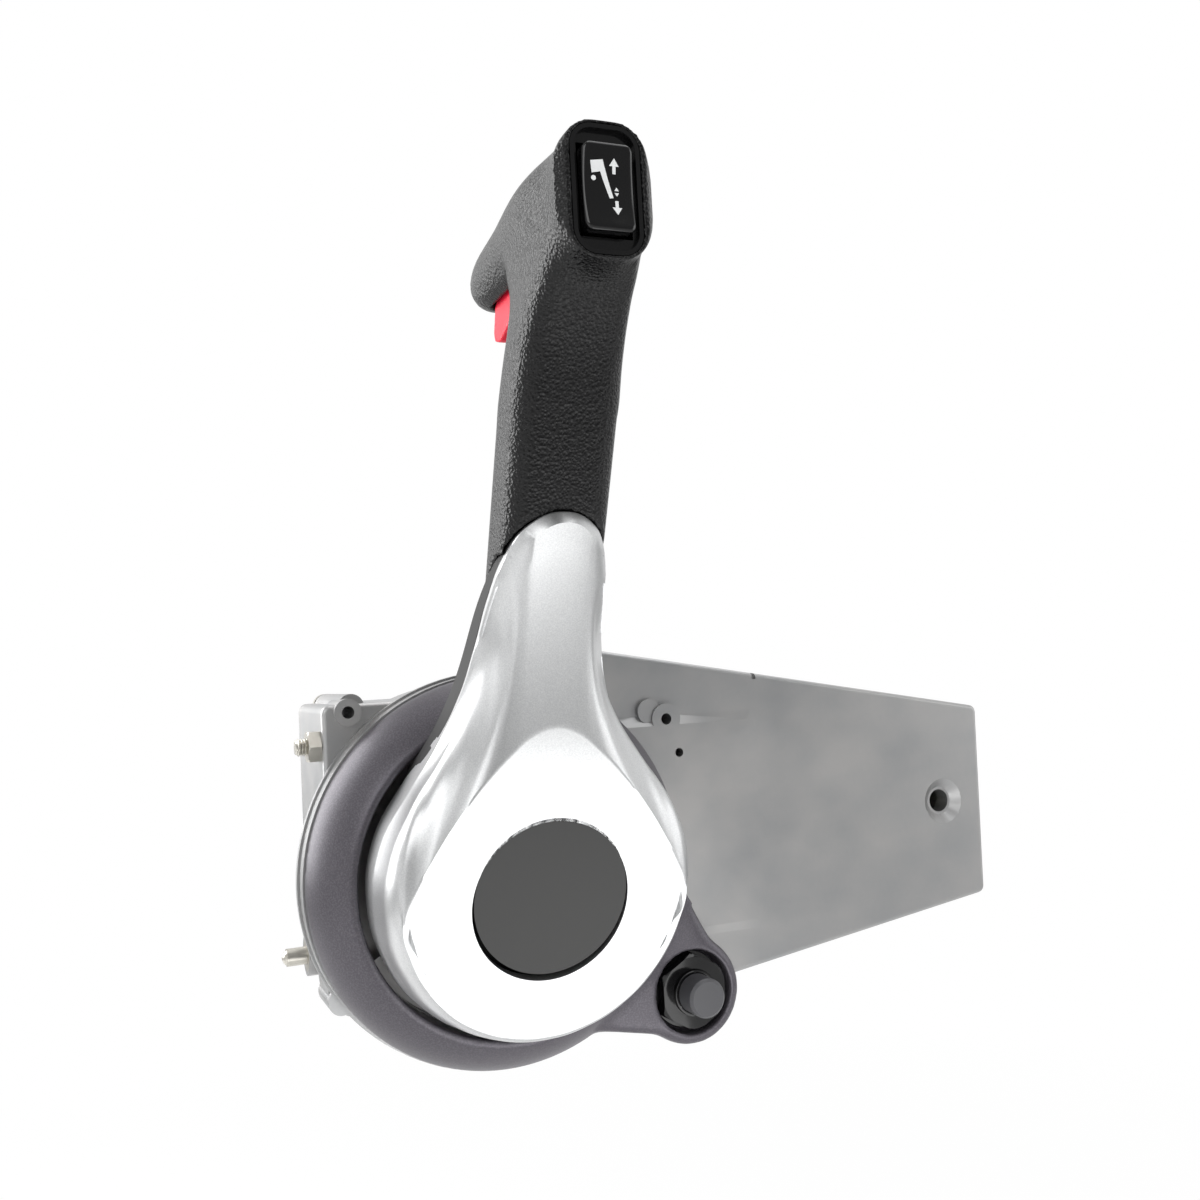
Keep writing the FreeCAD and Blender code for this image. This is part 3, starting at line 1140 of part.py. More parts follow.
def lock_rod_points():
    rear = lean_normal() * LOCK_ROD_BACK
    top = lean_point(186.0) + rear
    knee = lean_point(LOCK_KNEE_Z + 10) + rear
    foot_z = LOCK_RING_R + LOCK_ROD_R + FREE_GAP
    return [top, knee, V(0, COVER_REAR_Y - 3, foot_z), V(0, BEARING_NOSE_Y + LOCK_RING_T - 1, foot_z)]


def lock_rod():
    """Bent wire from the trigger down behind the core to the lock ring."""
    points = lock_rod_points()
    pieces = []
    for start, end in zip(points, points[1:]):
        pieces.append(Part.makeCylinder(LOCK_ROD_R, (end - start).Length, start, end - start))
    pieces += [Part.makeSphere(LOCK_ROD_R, point) for point in points[1:-1]]
    return fused(pieces)


def lock_trigger():
    body = trigger_prism(0, 0)
    points = lock_rod_points()
    bore = Part.makeCylinder(LOCK_ROD_R + SEAT_GAP, 20, points[0], points[1] - points[0])
    return body.cut(bore)


def lock_spring():
    return lock_spring_space(0).cut(lock_spring_space(-0.8))


def switch_frame():
    """Insert in the head with a window for the rocker and bearings for its pin."""
    floor = pocket_floor_y()
    body = pocket_prism(0, HEAD_FRONT_Y + 0.8, floor)
    half_w = ROCKER_W / 2 + FREE_GAP
    half_h = ROCKER_R + FREE_GAP
    window = prism([(-half_w, ROCKER_Z - half_h), (half_w, ROCKER_Z - half_h), (half_w, ROCKER_Z + half_h),
                    (-half_w, ROCKER_Z + half_h)], FREE_GAP, HEAD_FRONT_Y - 1, floor - FRAME_FLOOR)
    dish = pocket_prism(1.2, HEAD_FRONT_Y - 1, HEAD_FRONT_Y + 2.6)
    pin = cylinder_x(ROCKER_PIN_R + SEAT_GAP, -half_w - 1.5, half_w + 1.5, rocker_pivot_y(), ROCKER_Z)
    return body.cut(window).cut(dish).cut(pin)


def trim_rocker():
    front, back = HEAD_FRONT_Y - 0.3, rocker_pivot_y() + ROCKER_TAIL
    block = prism([(-ROCKER_W / 2, ROCKER_Z - ROCKER_R), (ROCKER_W / 2, ROCKER_Z - ROCKER_R),
                   (ROCKER_W / 2, ROCKER_Z + ROCKER_R), (-ROCKER_W / 2, ROCKER_Z + ROCKER_R)], 2.0, front, back)
    dish = cylinder_x(ROCKER_DISH_R, -ROCKER_W, ROCKER_W, front + 1.0 - ROCKER_DISH_R, ROCKER_Z)
    drum = cylinder_x(ROCKER_R, -ROCKER_W, ROCKER_W, rocker_pivot_y(), ROCKER_Z)
    pin = cylinder_x(ROCKER_PIN_R + SEAT_GAP, -ROCKER_W, ROCKER_W, rocker_pivot_y(), ROCKER_Z)
    return block.common(drum).cut(dish).cut(pin)


def rocker_pin():
    half = ROCKER_W / 2 + FREE_GAP + 1.5 - SEAT_GAP
    return cylinder_x(ROCKER_PIN_R, -half, half, rocker_pivot_y(), ROCKER_Z)


def hub_bolt():
    head_back = SHAFT_NOSE_Y - HUB_WASHER_T
    head = hexagon(HUB_BOLT_HEAD_AF, head_back - HUB_BOLT_HEAD_H, head_back)
    return head.fuse(cylinder(HUB_BOLT_R - SEAT_GAP, head_back, SHAFT_NOSE_Y + 18))


def hub_washer():
    return tube(HUB_WASHER_R, HUB_BOLT_R + 0.2, SHAFT_NOSE_Y - HUB_WASHER_T, SHAFT_NOSE_Y)


def hub_button():
    """Shallow dished cap that slides square to the tilted face."""
    cap = Part.makeCylinder(CAP_R, CAP_T, CAP_CENTRE, FACE_NORMAL)
    dish = Part.makeCylinder(CAP_R - 3, CAP_T, CAP_CENTRE + FACE_NORMAL * (CAP_T - 1.2), FACE_NORMAL)
    return cap.cut(dish)


def hub_spring():
    """Spring on the shaft's washer at its closed length, which leaves the button its travel."""
    y1 = SHAFT_NOSE_Y - HUB_WASHER_T
    return tube(HUB_WASHER_R, HUB_WASHER_R - 1.2, y1 - HUB_SPRING_LENGTH, y1)


NODES = {
    "main_housing": main_housing,
    "rear_cover": rear_cover,
    "rear_cover_screws": cover_screws,
    "front_bush": front_bush,
    "rear_bush": rear_bush,
    "main_shaft": main_shaft,
    "friction_drum": friction_drum,
    "drive_gear": drive_gear,
    "detent_wheel": detent_wheel,
    "throttle_cam": throttle_cam,
    "pivot_pin": pivot_pin,
    "pivot_spacer": pivot_spacer,
    "shift_sector": shift_sector,
    "shift_arm": shift_arm,
    "shift_cable_pin": shift_cable_pin,
    "throttle_arm": throttle_arm,
    "throttle_cable_pin": throttle_cable_pin,
    "throttle_roller": throttle_roller,
    "friction_shoe": friction_shoe,
    "friction_screw": friction_screw,
    "friction_locknut": friction_locknut,
    "detent_barrel": detent_barrel,
    "detent_plunger": detent_plunger,
    "detent_spring": detent_spring,
    "cable_anchor": cable_anchor,
    "cable_anchor_screws": anchor_screws,
    "neutral_switch": neutral_switch,
    "neutral_switch_screws": neutral_switch_screws,
    "lock_ring": lock_ring,
    "bezel": bezel,
    "bezel_screws": bezel_screws,
    "stop_switch_body": stop_switch_body,
    "stop_switch_washer": stop_switch_washer,
    "stop_switch_nut": stop_switch_nut,
    "stop_plunger": stop_plunger,
    "stop_spring": stop_spring,
    "front_cover": front_cover,
    "back_cover": back_cover,
    "lever_cover_screws": lever_cover_screws,
    "grip": grip,
    "lever_arm": lever_arm,
    "hub_bolt": hub_bolt,
    "hub_washer": hub_washer,
    "hub_button": hub_button,
    "hub_spring": hub_spring,
    "lock_trigger": lock_trigger,
    "lock_rod": lock_rod,
    "lock_spring": lock_spring,
    "switch_frame": switch_frame,
    "trim_rocker": trim_rocker,
    "rocker_pin": rocker_pin,
}

os.makedirs("parts", exist_ok=True)
for name, make in NODES.items():
    shape = make()
    solids = len(shape.Solids)
    print(name, solids, shape.isValid(), round(shape.Volume, 1))
    shape.exportStep("parts/" + name + ".step")
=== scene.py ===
import math

import bmesh
import bpy
from mathutils import Matrix, Vector


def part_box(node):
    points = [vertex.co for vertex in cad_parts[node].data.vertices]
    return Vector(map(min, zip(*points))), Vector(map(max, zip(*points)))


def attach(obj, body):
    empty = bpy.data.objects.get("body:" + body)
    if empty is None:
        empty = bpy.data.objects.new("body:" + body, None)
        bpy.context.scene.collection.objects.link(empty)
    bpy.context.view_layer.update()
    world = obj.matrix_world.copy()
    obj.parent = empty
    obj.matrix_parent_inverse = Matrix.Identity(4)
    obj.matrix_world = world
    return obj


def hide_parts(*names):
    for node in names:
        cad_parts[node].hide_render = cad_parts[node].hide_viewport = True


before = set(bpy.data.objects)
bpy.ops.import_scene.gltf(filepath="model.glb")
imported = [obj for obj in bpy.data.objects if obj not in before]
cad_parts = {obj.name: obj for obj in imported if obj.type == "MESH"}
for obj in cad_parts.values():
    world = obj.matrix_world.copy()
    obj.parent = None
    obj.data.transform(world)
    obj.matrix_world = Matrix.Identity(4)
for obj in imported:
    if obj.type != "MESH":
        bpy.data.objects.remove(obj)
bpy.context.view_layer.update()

MM = 0.001


# Camera and studio. The lever is photographed from ahead and a little to the left, at hub height.
# The background is white behind and beside it, and the room in front is dimmer. Four softboxes
# light it, with a white card to the left and a small one low in front of the hub.
def tone(hex_code, alpha=1.0):
    """Linear colour of an sRGB hex code."""
    channels = [int(hex_code[i:i + 2], 16) / 255 for i in (1, 3, 5)]
    return [c / 12.92 if c <= 0.04045 else ((c + 0.055) / 1.055) ** 2.4 for c in channels] + [alpha]


def add_node(tree, kind, values=None, wires=None, **settings):
    """Adds a node, with its settings, the values of its inputs and the sockets that feed them."""
    node = tree.nodes.new(kind)
    for name, value in settings.items():
        setattr(node, name, value)
    for key, value in (values or {}).items():
        node.inputs[key].default_value = value
    for key, source in (wires or {}).items():
        tree.links.new(source, node.inputs[key])
    return node


scene = bpy.context.scene
scene.view_settings.view_transform = "Standard"
lens = bpy.data.cameras.new("camera")
lens.lens = 36.6
camera = bpy.data.objects.new("camera", lens)
scene.collection.objects.link(camera)
camera_right = Vector((0.91990, -0.38831, -0.05480))
camera_up = Vector((0.02998, -0.06970, 0.99712))
camera_ahead = Vector((0.39101, 0.91889, 0.05248))
camera.matrix_world = Matrix.Translation(Vector((-130.37, -412.49, 68.55)) * MM) @ Matrix(
    (camera_right, camera_up, -camera_ahead)).transposed().to_4x4()
scene.camera = camera

surroundings = bpy.data.worlds.new("white_studio")
scene.world = surroundings
surroundings.use_nodes = True
studio = surroundings.node_tree
studio.nodes.clear()
seen = add_node(studio, "ShaderNodeLightPath")
heading = add_node(studio, "ShaderNodeSeparateXYZ",
                   wires={0: add_node(studio, "ShaderNodeTexCoord").outputs["Object"]})
room = add_node(studio, "ShaderNodeMapRange", {1: -0.50, 2: 0.20, 3: 0.30, 4: 1.0}, {0: heading.outputs["Y"]},
                interpolation_type="SMOOTHSTEP")
fill = add_node(studio, "ShaderNodeBackground", {"Color": tone("#ffffff"), "Strength": 0.48})
mirrored = add_node(studio, "ShaderNodeBackground", {"Color": tone("#ffffff")},
                    {"Strength": room.outputs[0]})
white = add_node(studio, "ShaderNodeBackground", {"Color": tone("#ffffff"), "Strength": 1.0})
polished = add_node(studio, "ShaderNodeMixShader",
                    wires={0: seen.outputs["Is Glossy Ray"], 1: fill.outputs[0], 2: mirrored.outputs[0]})
clear = add_node(studio, "ShaderNodeMath",
                 wires={0: seen.outputs["Is Camera Ray"], 1: seen.outputs["Is Transmission Ray"]},
                 operation="MAXIMUM")
both = add_node(studio, "ShaderNodeMixShader",
                wires={0: clear.outputs[0], 1: polished.outputs[0], 2: white.outputs[0]})
add_node(studio, "ShaderNodeOutputWorld", wires={"Surface": both.outputs[0]})


def soft_lamp(name, place, aim, size, watts):
    """Rectangular softbox that the camera doesn't see."""
    lamp = bpy.data.lights.new(name, "AREA")
    lamp.shape = "RECTANGLE"
    lamp.size, lamp.size_y = size
    lamp.energy = watts
    holder = bpy.data.objects.new(name, lamp)
    scene.collection.objects.link(holder)
    holder.location = place
    holder.rotation_euler = (Vector(aim) - Vector(place)).to_track_quat("-Z", "Y").to_euler()
    holder.visible_camera = False


soft_lamp("key_softbox", (-0.75, -0.85, 0.60), (0.0, 0.0, 0.05), (0.7, 0.7), 4.0)
soft_lamp("top_softbox", (0.30, -0.05, 1.0), (0.05, 0.0, 0.05), (1.4, 0.7), 5.0)
soft_lamp("side_softbox", (0.95, -0.45, 0.25), (0.05, 0.0, 0.05), (0.5, 0.8), 2.2)
soft_lamp("low_card", (0.036, -0.150, -0.078), (0.0, -0.056, -0.004), (0.16, 0.14), 0.13)
soft_lamp("left_card", (-0.62, -0.30, -0.12), (0.0, -0.06, 0.05), (0.60, 0.60), 0.55)
soft_lamp("rim_softbox", (-0.65, 0.50, 0.35), (0.0, -0.04, 0.12), (0.5, 0.8), 7.0)

floor_mesh = bpy.data.meshes.new("floor")
sheet = bmesh.new()
bmesh.ops.create_grid(sheet, x_segments=1, y_segments=1, size=6.0,
                      matrix=Matrix.Translation((0.0, 0.0, -0.30)))
sheet.to_mesh(floor_mesh)
sheet.free()
floor = bpy.data.objects.new("floor", floor_mesh)
scene.collection.objects.link(floor)
paper = bpy.data.materials.new("white_paper")
paper.use_nodes = True
tree = paper.node_tree
tree.nodes.clear()
seen = add_node(tree, "ShaderNodeLightPath")
spread = add_node(tree, "ShaderNodeVectorMath",
                  wires={0: add_node(tree, "ShaderNodeTexCoord").outputs["Object"]},
                  operation="LENGTH")
fade = add_node(tree, "ShaderNodeMapRange", {1: 0.35, 2: 0.9, 3: 0.90, 4: 1.0},
                {0: spread.outputs["Value"]})
matt = add_node(tree, "ShaderNodeBsdfDiffuse", {"Color": tone("#f4f4f4")})
glow = add_node(tree, "ShaderNodeEmission", {"Color": tone("#ffffff"), "Strength": 1.0})
mixed = add_node(tree, "ShaderNodeMixShader",
                 wires={0: fade.outputs[0], 1: matt.outputs[0], 2: glow.outputs[0]})
shown = add_node(tree, "ShaderNodeMixShader",
                 wires={0: seen.outputs["Is Camera Ray"], 1: matt.outputs[0], 2: mixed.outputs[0]})
add_node(tree, "ShaderNodeOutputMaterial", wires={"Surface": shown.outputs[0]})
floor_mesh.materials.append(paper)


# Cast housing. One aluminium die casting, tumbled to a satin grey skin with faint clouds from the flow
# of the metal. It has tapped bosses, the panel pad, and the rim that carries the bezel.
def start_finish(name, hex_code, **values):
    """New material with its main shader set, and the object coordinates for its patterns."""
    finish = bpy.data.materials.new(name)
    finish.use_nodes = True
    tree = finish.node_tree
    tree.nodes.clear()
    shader = add_node(tree, "ShaderNodeBsdfPrincipled", {"Base Color": tone(hex_code)})
    for key, value in values.items():
        shader.inputs[key.replace("_", " ").title().replace("Ior", "IOR")].default_value = value
    add_node(tree, "ShaderNodeOutputMaterial", wires={"Surface": shader.outputs[0]})
    place = add_node(tree, "ShaderNodeTexCoord").outputs["Object"]
    return finish, tree, shader, place


def roughen(tree, shader, height, strength, depth):
    """Feeds a height pattern to the shader as bump, its depth in millimetres."""
    bump = add_node(tree, "ShaderNodeBump", {"Strength": strength, "Distance": depth * MM},
                    {"Height": height})
    tree.links.new(bump.outputs[0], shader.inputs["Normal"])


def blend_tones(tree, factor, low_hex, high_hex):
    """Colour that runs from one tone to another with a factor."""
    mix = add_node(tree, "ShaderNodeMix", {6: tone(low_hex), 7: tone(high_hex)}, {0: factor},
                   data_type="RGBA")
    return mix.outputs[2]


def vary(tree, source, low, high, start=0.35, end=0.65):
    """Stretches a pattern's range to other values."""
    spread = add_node(tree, "ShaderNodeMapRange", {1: start, 2: end, 3: low, 4: high}, {0: source})
    return spread.outputs[0]


def dress(names, finish, split_angle=32.0, softness=0.0, flatten=False):
    """Gives CAD nodes a finish, smooth shading up to an angle, and a softened edge."""
    for name in names:
        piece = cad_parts[name]
        piece.data.materials.clear()
        piece.data.materials.append(finish)
        for face in piece.data.polygons:
            face.use_smooth = True
            face.material_index = 0
        joined = piece.modifiers.new("joined", "WELD")
        joined.merge_threshold = 0.002 * MM
        if flatten:
            merged = piece.modifiers.new("one_face_per_plane", "DECIMATE")
            merged.decimate_type = "DISSOLVE"
            merged.angle_limit = math.radians(1.0)
        if softness:
            edge = piece.modifiers.new("soft_edge", "BEVEL")
            edge.width = softness * MM
            edge.segments = 2
            edge.limit_method = "ANGLE"
            edge.angle_limit = math.radians(40)
        crease = piece.modifiers.new("crease", "EDGE_SPLIT")
        crease.split_angle = math.radians(split_angle)
        crease.use_edge_sharp = False
        flat = piece.modifiers.new("flat_faces", "WEIGHTED_NORMAL")
        flat.mode = "FACE_AREA"
        flat.weight = 50
        flat.keep_sharp = False


cast_alloy, tree, shader, place = start_finish("tumbled_cast_aluminium", "#b9b9b9", metallic=0.9,
                                               roughness=0.42)
cloud = add_node(tree, "ShaderNodeTexNoise", {"Scale": 22.0, "Detail": 4.0, "Roughness": 0.55},
                 {"Vector": place})
stain = add_node(tree, "ShaderNodeTexNoise", {"Scale": 90.0, "Detail": 6.0, "Roughness": 0.7},
                 {"Vector": place})
clouds = add_node(tree, "ShaderNodeMath", {1: 0.35}, {0: stain.outputs[0], 2: cloud.outputs[0]},
                  operation="MULTIPLY_ADD")
tree.links.new(blend_tones(tree, vary(tree, clouds.outputs[0], 0, 1, 0.5, 0.85), "#a5a6a7", "#b2b1b0"),
               shader.inputs["Base Color"])
tree.links.new(vary(tree, cloud.outputs[0], 0.39, 0.46), shader.inputs["Roughness"])
skin = add_node(tree, "ShaderNodeTexNoise", {"Scale": 1100.0, "Detail": 2.0}, {"Vector": place})
roughen(tree, shader, skin.outputs[0], 0.22, 0.05)
dress(["main_housing"], cast_alloy, softness=1.0, flatten=True)


# Closing plate at the back. Stamped aluminium sheet, rolled with the grain along it, held by small
# plated screws.
sheet_alloy, tree, shader, place = start_finish("rolled_aluminium_sheet", "#b4b4b4", metallic=0.95,
                                                roughness=0.36)
grain = add_node(tree, "ShaderNodeMapping", {"Scale": (1.0, 1.0, 60.0)}, {"Vector": place})
streak = add_node(tree, "ShaderNodeTexNoise", {"Scale": 40.0, "Detail": 3.0}, {"Vector": grain.outputs[0]})
tree.links.new(vary(tree, streak.outputs[0], 0.30, 0.44), shader.inputs["Roughness"])
roughen(tree, shader, streak.outputs[0], 0.12, 0.03)
dress(["rear_cover"], sheet_alloy)

zinc, tree, shader, place = start_finish("zinc_plated_steel", "#c4c1b9", metallic=1.0, roughness=0.30)
bloom = add_node(tree, "ShaderNodeTexNoise", {"Scale": 260.0, "Detail": 2.0}, {"Vector": place})
tree.links.new(blend_tones(tree, bloom.outputs[0], "#aeaba3", "#d6d3ca"), shader.inputs["Base Color"])
roughen(tree, shader, bloom.outputs[0], 0.1, 0.05)
dress(["rear_cover_screws", "bezel_screws", "cable_anchor_screws", "neutral_switch_screws", "lever_cover_screws",
       "friction_locknut", "detent_barrel", "pivot_pin", "shift_cable_pin", "throttle_cable_pin",
       "hub_bolt", "hub_washer", "lock_rod", "rocker_pin"], zinc)


# Friction adjuster at the forward end. Rolled threads with a 1 mm pitch, chamfered ends and the zinc plating of
# the screws.
def new_piece(name, shape, finish, body, replaced=None, smooth=True):
    """Makes an object of a finished bmesh in metres, and lets it ride on a body."""
    bmesh.ops.recalc_face_normals(shape, faces=shape.faces)
    mesh = bpy.data.meshes.new(name)
    shape.to_mesh(mesh)
    shape.free()
    mesh.materials.append(finish)
    for face in mesh.polygons:
        face.use_smooth = smooth
    piece = bpy.data.objects.new(name, mesh)
    scene.collection.objects.link(piece)
    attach(piece, body)
    if replaced:
        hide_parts(replaced)
    return piece


def spun(points, centre, axis, steps=48):
    """Closed shape of revolution from (distance along the axis, radius) points in millimetres."""
    shape = bmesh.new()
    side = Vector((0.0, 0.0, 1.0))
    verts = [shape.verts.new((Vector(centre) + Vector(axis) * along + side * radius) * MM)
             for along, radius in points]
    edges = [shape.edges.new(pair) for pair in zip(verts, verts[1:])]
    bmesh.ops.spin(shape, geom=verts + edges, cent=Vector(centre) * MM, axis=axis,
                   angle=2 * math.pi, steps=steps,
                   use_merge=True, dvec=(0.0, 0.0, 0.0))
    bmesh.ops.remove_doubles(shape, verts=shape.verts, dist=0.001 * MM)
    return shape


def thread_line(start, end, crest, root, pitch=1.0):
    """Zigzag of a thread, from the centre of one chamfered end to the other."""
    points = [(start, 0.0), (start, root - 0.3), (start + 0.4, root)]
    turns = int((end - start - 1.2) / pitch)
    for turn in range(turns):
        foot = start + 0.6 + turn * pitch
        points += [(foot + 0.05 * pitch, root), (foot + 0.40 * pitch, crest), (foot + 0.60 * pitch, crest),
                   (foot + 0.95 * pitch, root)]
    return points + [(end, root), (end, 0.0)]


screw_low, screw_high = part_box("friction_screw")
screw_centre = (screw_low[0] / MM, (screw_low[1] + screw_high[1]) / 2 / MM,
                (screw_low[2] + screw_high[2]) / 2 / MM)
screw_length = (screw_high[0] - screw_low[0]) / MM
adjuster = spun(thread_line(0.0, screw_length, 3.0, 2.5), screw_centre, (1.0, 0.0, 0.0), steps=40)
threaded = new_piece("friction_adjuster_thread", adjuster, zinc, "housing", "friction_screw", smooth=True)
crease = threaded.modifiers.new("crease", "EDGE_SPLIT")
crease.split_angle = math.radians(30)


# Bushes, gears and levers inside the housing. Turned brass, cut and stamped steel, and moulded nylon,
# all behind the closing plate.
brass, tree, shader, place = start_finish("turned_brass", "#c79a52", metallic=1.0, roughness=0.3)
turned = add_node(tree, "ShaderNodeTexNoise", {"Scale": 300.0}, {"Vector": place})
roughen(tree, shader, turned.outputs[0], 0.1, 0.03)
dress(["front_bush", "rear_bush"], brass)

steel, tree, shader, place = start_finish("machined_steel", "#8e8f91", metallic=1.0, roughness=0.38)
oil = add_node(tree, "ShaderNodeTexNoise", {"Scale": 90.0, "Detail": 3.0}, {"Vector": place})
tree.links.new(vary(tree, oil.outputs[0], 0.26, 0.5), shader.inputs["Roughness"])
roughen(tree, shader, oil.outputs[0], 0.08, 0.04)
dress(["main_shaft", "friction_drum", "drive_gear", "detent_wheel", "throttle_cam", "shift_sector", "shift_arm",
       "throttle_arm", "detent_plunger", "lock_ring", "friction_screw"], steel)

nylon, tree, shader, place = start_finish("natural_nylon", "#d8d4c6", roughness=0.5)
flow = add_node(tree, "ShaderNodeTexNoise", {"Scale": 140.0}, {"Vector": place})
roughen(tree, shader, flow.outputs[0], 0.1, 0.04)
dress(["pivot_spacer", "throttle_roller", "friction_shoe", "cable_anchor"], nylon)

core_alloy, tree, shader, place = start_finish("sand_cast_aluminium", "#a9a9a8", metallic=0.9, roughness=0.55)
sand = add_node(tree, "ShaderNodeTexNoise", {"Scale": 700.0}, {"Vector": place})
roughen(tree, shader, sand.outputs[0], 0.4, 0.12)
dress(["lever_arm"], core_alloy)


# Springs. Wound from hard drawn steel wire, shown at the length they have when pressed shut.
spring_steel, tree, shader, place = start_finish("drawn_spring_steel", "#77787a", metallic=1.0, roughness=0.28)
draw = add_node(tree, "ShaderNodeTexNoise", {"Scale": 500.0}, {"Vector": place})
roughen(tree, shader, draw.outputs[0], 0.1, 0.02)


def wound_spring(name, node, body, along, wire, turns):
    """Coil inside the space of a CAD spring, wound round the axis with index along."""
    low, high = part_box(node)
    centre = [(low[i] + high[i]) / 2 for i in range(3)]
    across = (along + 1) % 3
    radius = (high[across] - low[across]) / 2 - wire * MM / 2
    length = high[along] - low[along] - wire * MM
    axis = Vector([1.0 if i == along else 0.0 for i in range(3)])
    start = Vector(centre)
    start[along] = low[along] + wire * MM / 2
    side = Vector([1.0 if i == across else 0.0 for i in range(3)])
    coil = bmesh.new()
    turn = axis.cross(side).to_track_quat("Z", "Y").to_matrix().to_4x4()
    bmesh.ops.create_circle(coil, cap_ends=False, radius=wire * MM / 2, segments=8,
                            matrix=Matrix.Translation(start + side * radius) @ turn)
    steps = 24 * turns
    bmesh.ops.spin(coil, geom=list(coil.verts) + list(coil.edges), cent=start, axis=axis,
                   angle=2 * math.pi * turns,
                   steps=steps, dvec=axis * (length / steps), use_merge=False)
    bmesh.ops.holes_fill(coil, edges=[edge for edge in coil.edges if edge.is_boundary], sides=8)
    return new_piece(name, coil, spring_steel, body, node)


wound_spring("detent_coil", "detent_spring", "housing", 0, 0.9, 6)
wound_spring("stop_switch_coil", "stop_spring", "housing", 1, 0.8, 4)
wound_spring("hub_button_coil", "hub_spring", "lever", 1, 1.0, 3)
wound_spring("trigger_coil", "lock_spring", "lever", 2, 0.7, 4)
dress(["detent_spring", "stop_spring", "hub_spring", "lock_spring"], spring_steel)


# Bezel. Die cast ring with a boss for the stop switch, sprayed in a dark satin grey
# with a fine metallic dust in it.
anthracite, tree, shader, place = start_finish("anthracite_paint", "#57545a", metallic=0.45, roughness=0.38)
dust = add_node(tree, "ShaderNodeTexNoise", {"Scale": 1900.0, "Detail": 1.0}, {"Vector": place})
tree.links.new(blend_tones(tree, vary(tree, dust.outputs[0], 0, 1, 0.40, 0.75), "#504d53", "#605d63"),
               shader.inputs["Base Color"])
roughen(tree, shader, dust.outputs[0], 0.14, 0.04)
dress(["bezel"], anthracite)


def softened(name, node, body, finish, voxel, passes_at):
    """Copy of a CAD node with an even mesh, smoothed by as many passes as a place needs."""
    shape = bmesh.new()
    shape.from_mesh(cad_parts[node].data)
    bmesh.ops.remove_doubles(shape, verts=shape.verts, dist=0.002 * MM)
    rough_mesh = bpy.data.meshes.new(name + "_rough")
    shape.to_mesh(rough_mesh)
    shape.free()
    rough = bpy.data.objects.new(name + "_rough", rough_mesh)
    scene.collection.objects.link(rough)
    even = rough.modifiers.new("even", "REMESH")
    even.mode = "VOXEL"
    even.voxel_size = voxel * MM
    bpy.context.view_layer.update()
    evened = bpy.data.meshes.new_from_object(rough.evaluated_get(bpy.context.evaluated_depsgraph_get()))
    bpy.data.objects.remove(rough)
    bpy.data.meshes.remove(rough_mesh)
    shape = bmesh.new()
    shape.from_mesh(evened)
    bpy.data.meshes.remove(evened)
    wanted = [(vert, passes_at(vert.co / MM)) for vert in shape.verts]
    for done in range(max(passes for _, passes in wanted)):
        bmesh.ops.smooth_vert(shape, verts=[vert for vert, passes in wanted if passes > done], factor=0.5,
                              use_axis_x=True, use_axis_y=True, use_axis_z=True)
    return new_piece(name, shape, finish, body, node)


def bezel_passes(place):
    """Most smoothing where the ring flows into the boss of the stop switch, and round its rim."""
    from_switch = math.hypot(place.x - 65.0, place.z + 49.0)
    if from_switch < 16.0 or place.y > -7.0:
        return 3
    if place.x > 28.0 and place.z < -18.0:
        return 45
    return 6


softened("bezel_casting", "bezel", "housing", anthracite, 0.9, bezel_passes)


# Stop switch. Black moulded nut, washer and barrel, polished by the mould, and a softer grey plunger
# that the lanyard clip holds out.
gloss_black, tree, shader, place = start_finish("polished_black_abs", "#0a0a0b", roughness=0.14,
                                                specular_ior_level=0.5)
ripple = add_node(tree, "ShaderNodeTexNoise", {"Scale": 60.0}, {"Vector": place})
tree.links.new(vary(tree, ripple.outputs[0], 0.10, 0.20), shader.inputs["Roughness"])
dress(["stop_switch_body", "stop_switch_washer", "stop_switch_nut"], gloss_black, softness=0.35)

plunger_grey, tree, shader, place = start_finish("moulded_grey_nylon", "#444447", roughness=0.42)
fine = add_node(tree, "ShaderNodeTexNoise", {"Scale": 500.0}, {"Vector": place})
roughen(tree, shader, fine.outputs[0], 0.1, 0.04)
dress(["stop_plunger"], plunger_grey, softness=0.5)


# Lever covers. The front is a moulding sprayed in bright silver, smooth, with a very fine sparkle;
# the back is plain black plastic that closes it behind a fine groove.
silver, tree, shader, place = start_finish("silver_metallic_paint", "#cfd0d1", metallic=0.85,
                                           roughness=0.32)
flake = add_node(tree, "ShaderNodeTexNoise", {"Scale": 2600.0, "Detail": 1.0, "Roughness": 0.6},
                 {"Vector": place})
tree.links.new(blend_tones(tree, vary(tree, flake.outputs[0], 0, 1, 0.35, 0.7), "#bfc0c1", "#cfd0d0"),
               shader.inputs["Base Color"])
roughen(tree, shader, flake.outputs[0], 0.06, 0.02)
dress(["front_cover"], silver, split_angle=24.0)

hub_radius = 50.8
mouth_radius = 25.6
mouth_depth = 4.6
edge_rounding = 0.45
wall_thickness = 2.2
face_front = -56.1
face_tilt = math.radians(12.4)
cap_middle = Vector((0.0, face_front + 3.5 * math.sin(face_tilt), -3.5 * math.cos(face_tilt)))
cover_back = -24.0
back_depths = [(-51.0, cover_back), (30.0, cover_back), (33.0, -25.0), (56.0, -46.0), (80.0, -57.0),
               (97.0, -68.5),
               (108.0, -77.0), (114.0, -81.6)]
rim_depths = [(-51.0, -27.0), (0.0, -34.0), (30.0, -38.0), (56.0, -47.5), (80.0, -58.5),
              (97.0, -71.5), (114.0, -83.6)]
crease_depths = [(-51.0, -31.0), (-20.0, -36.0), (0.0, -41.5), (20.0, -45.0), (40.0, -47.0), (53.0, -50.0),
                 (68.0, -56.0), (80.0, -63.5), (95.0, -74.0), (111.0, -86.4)]
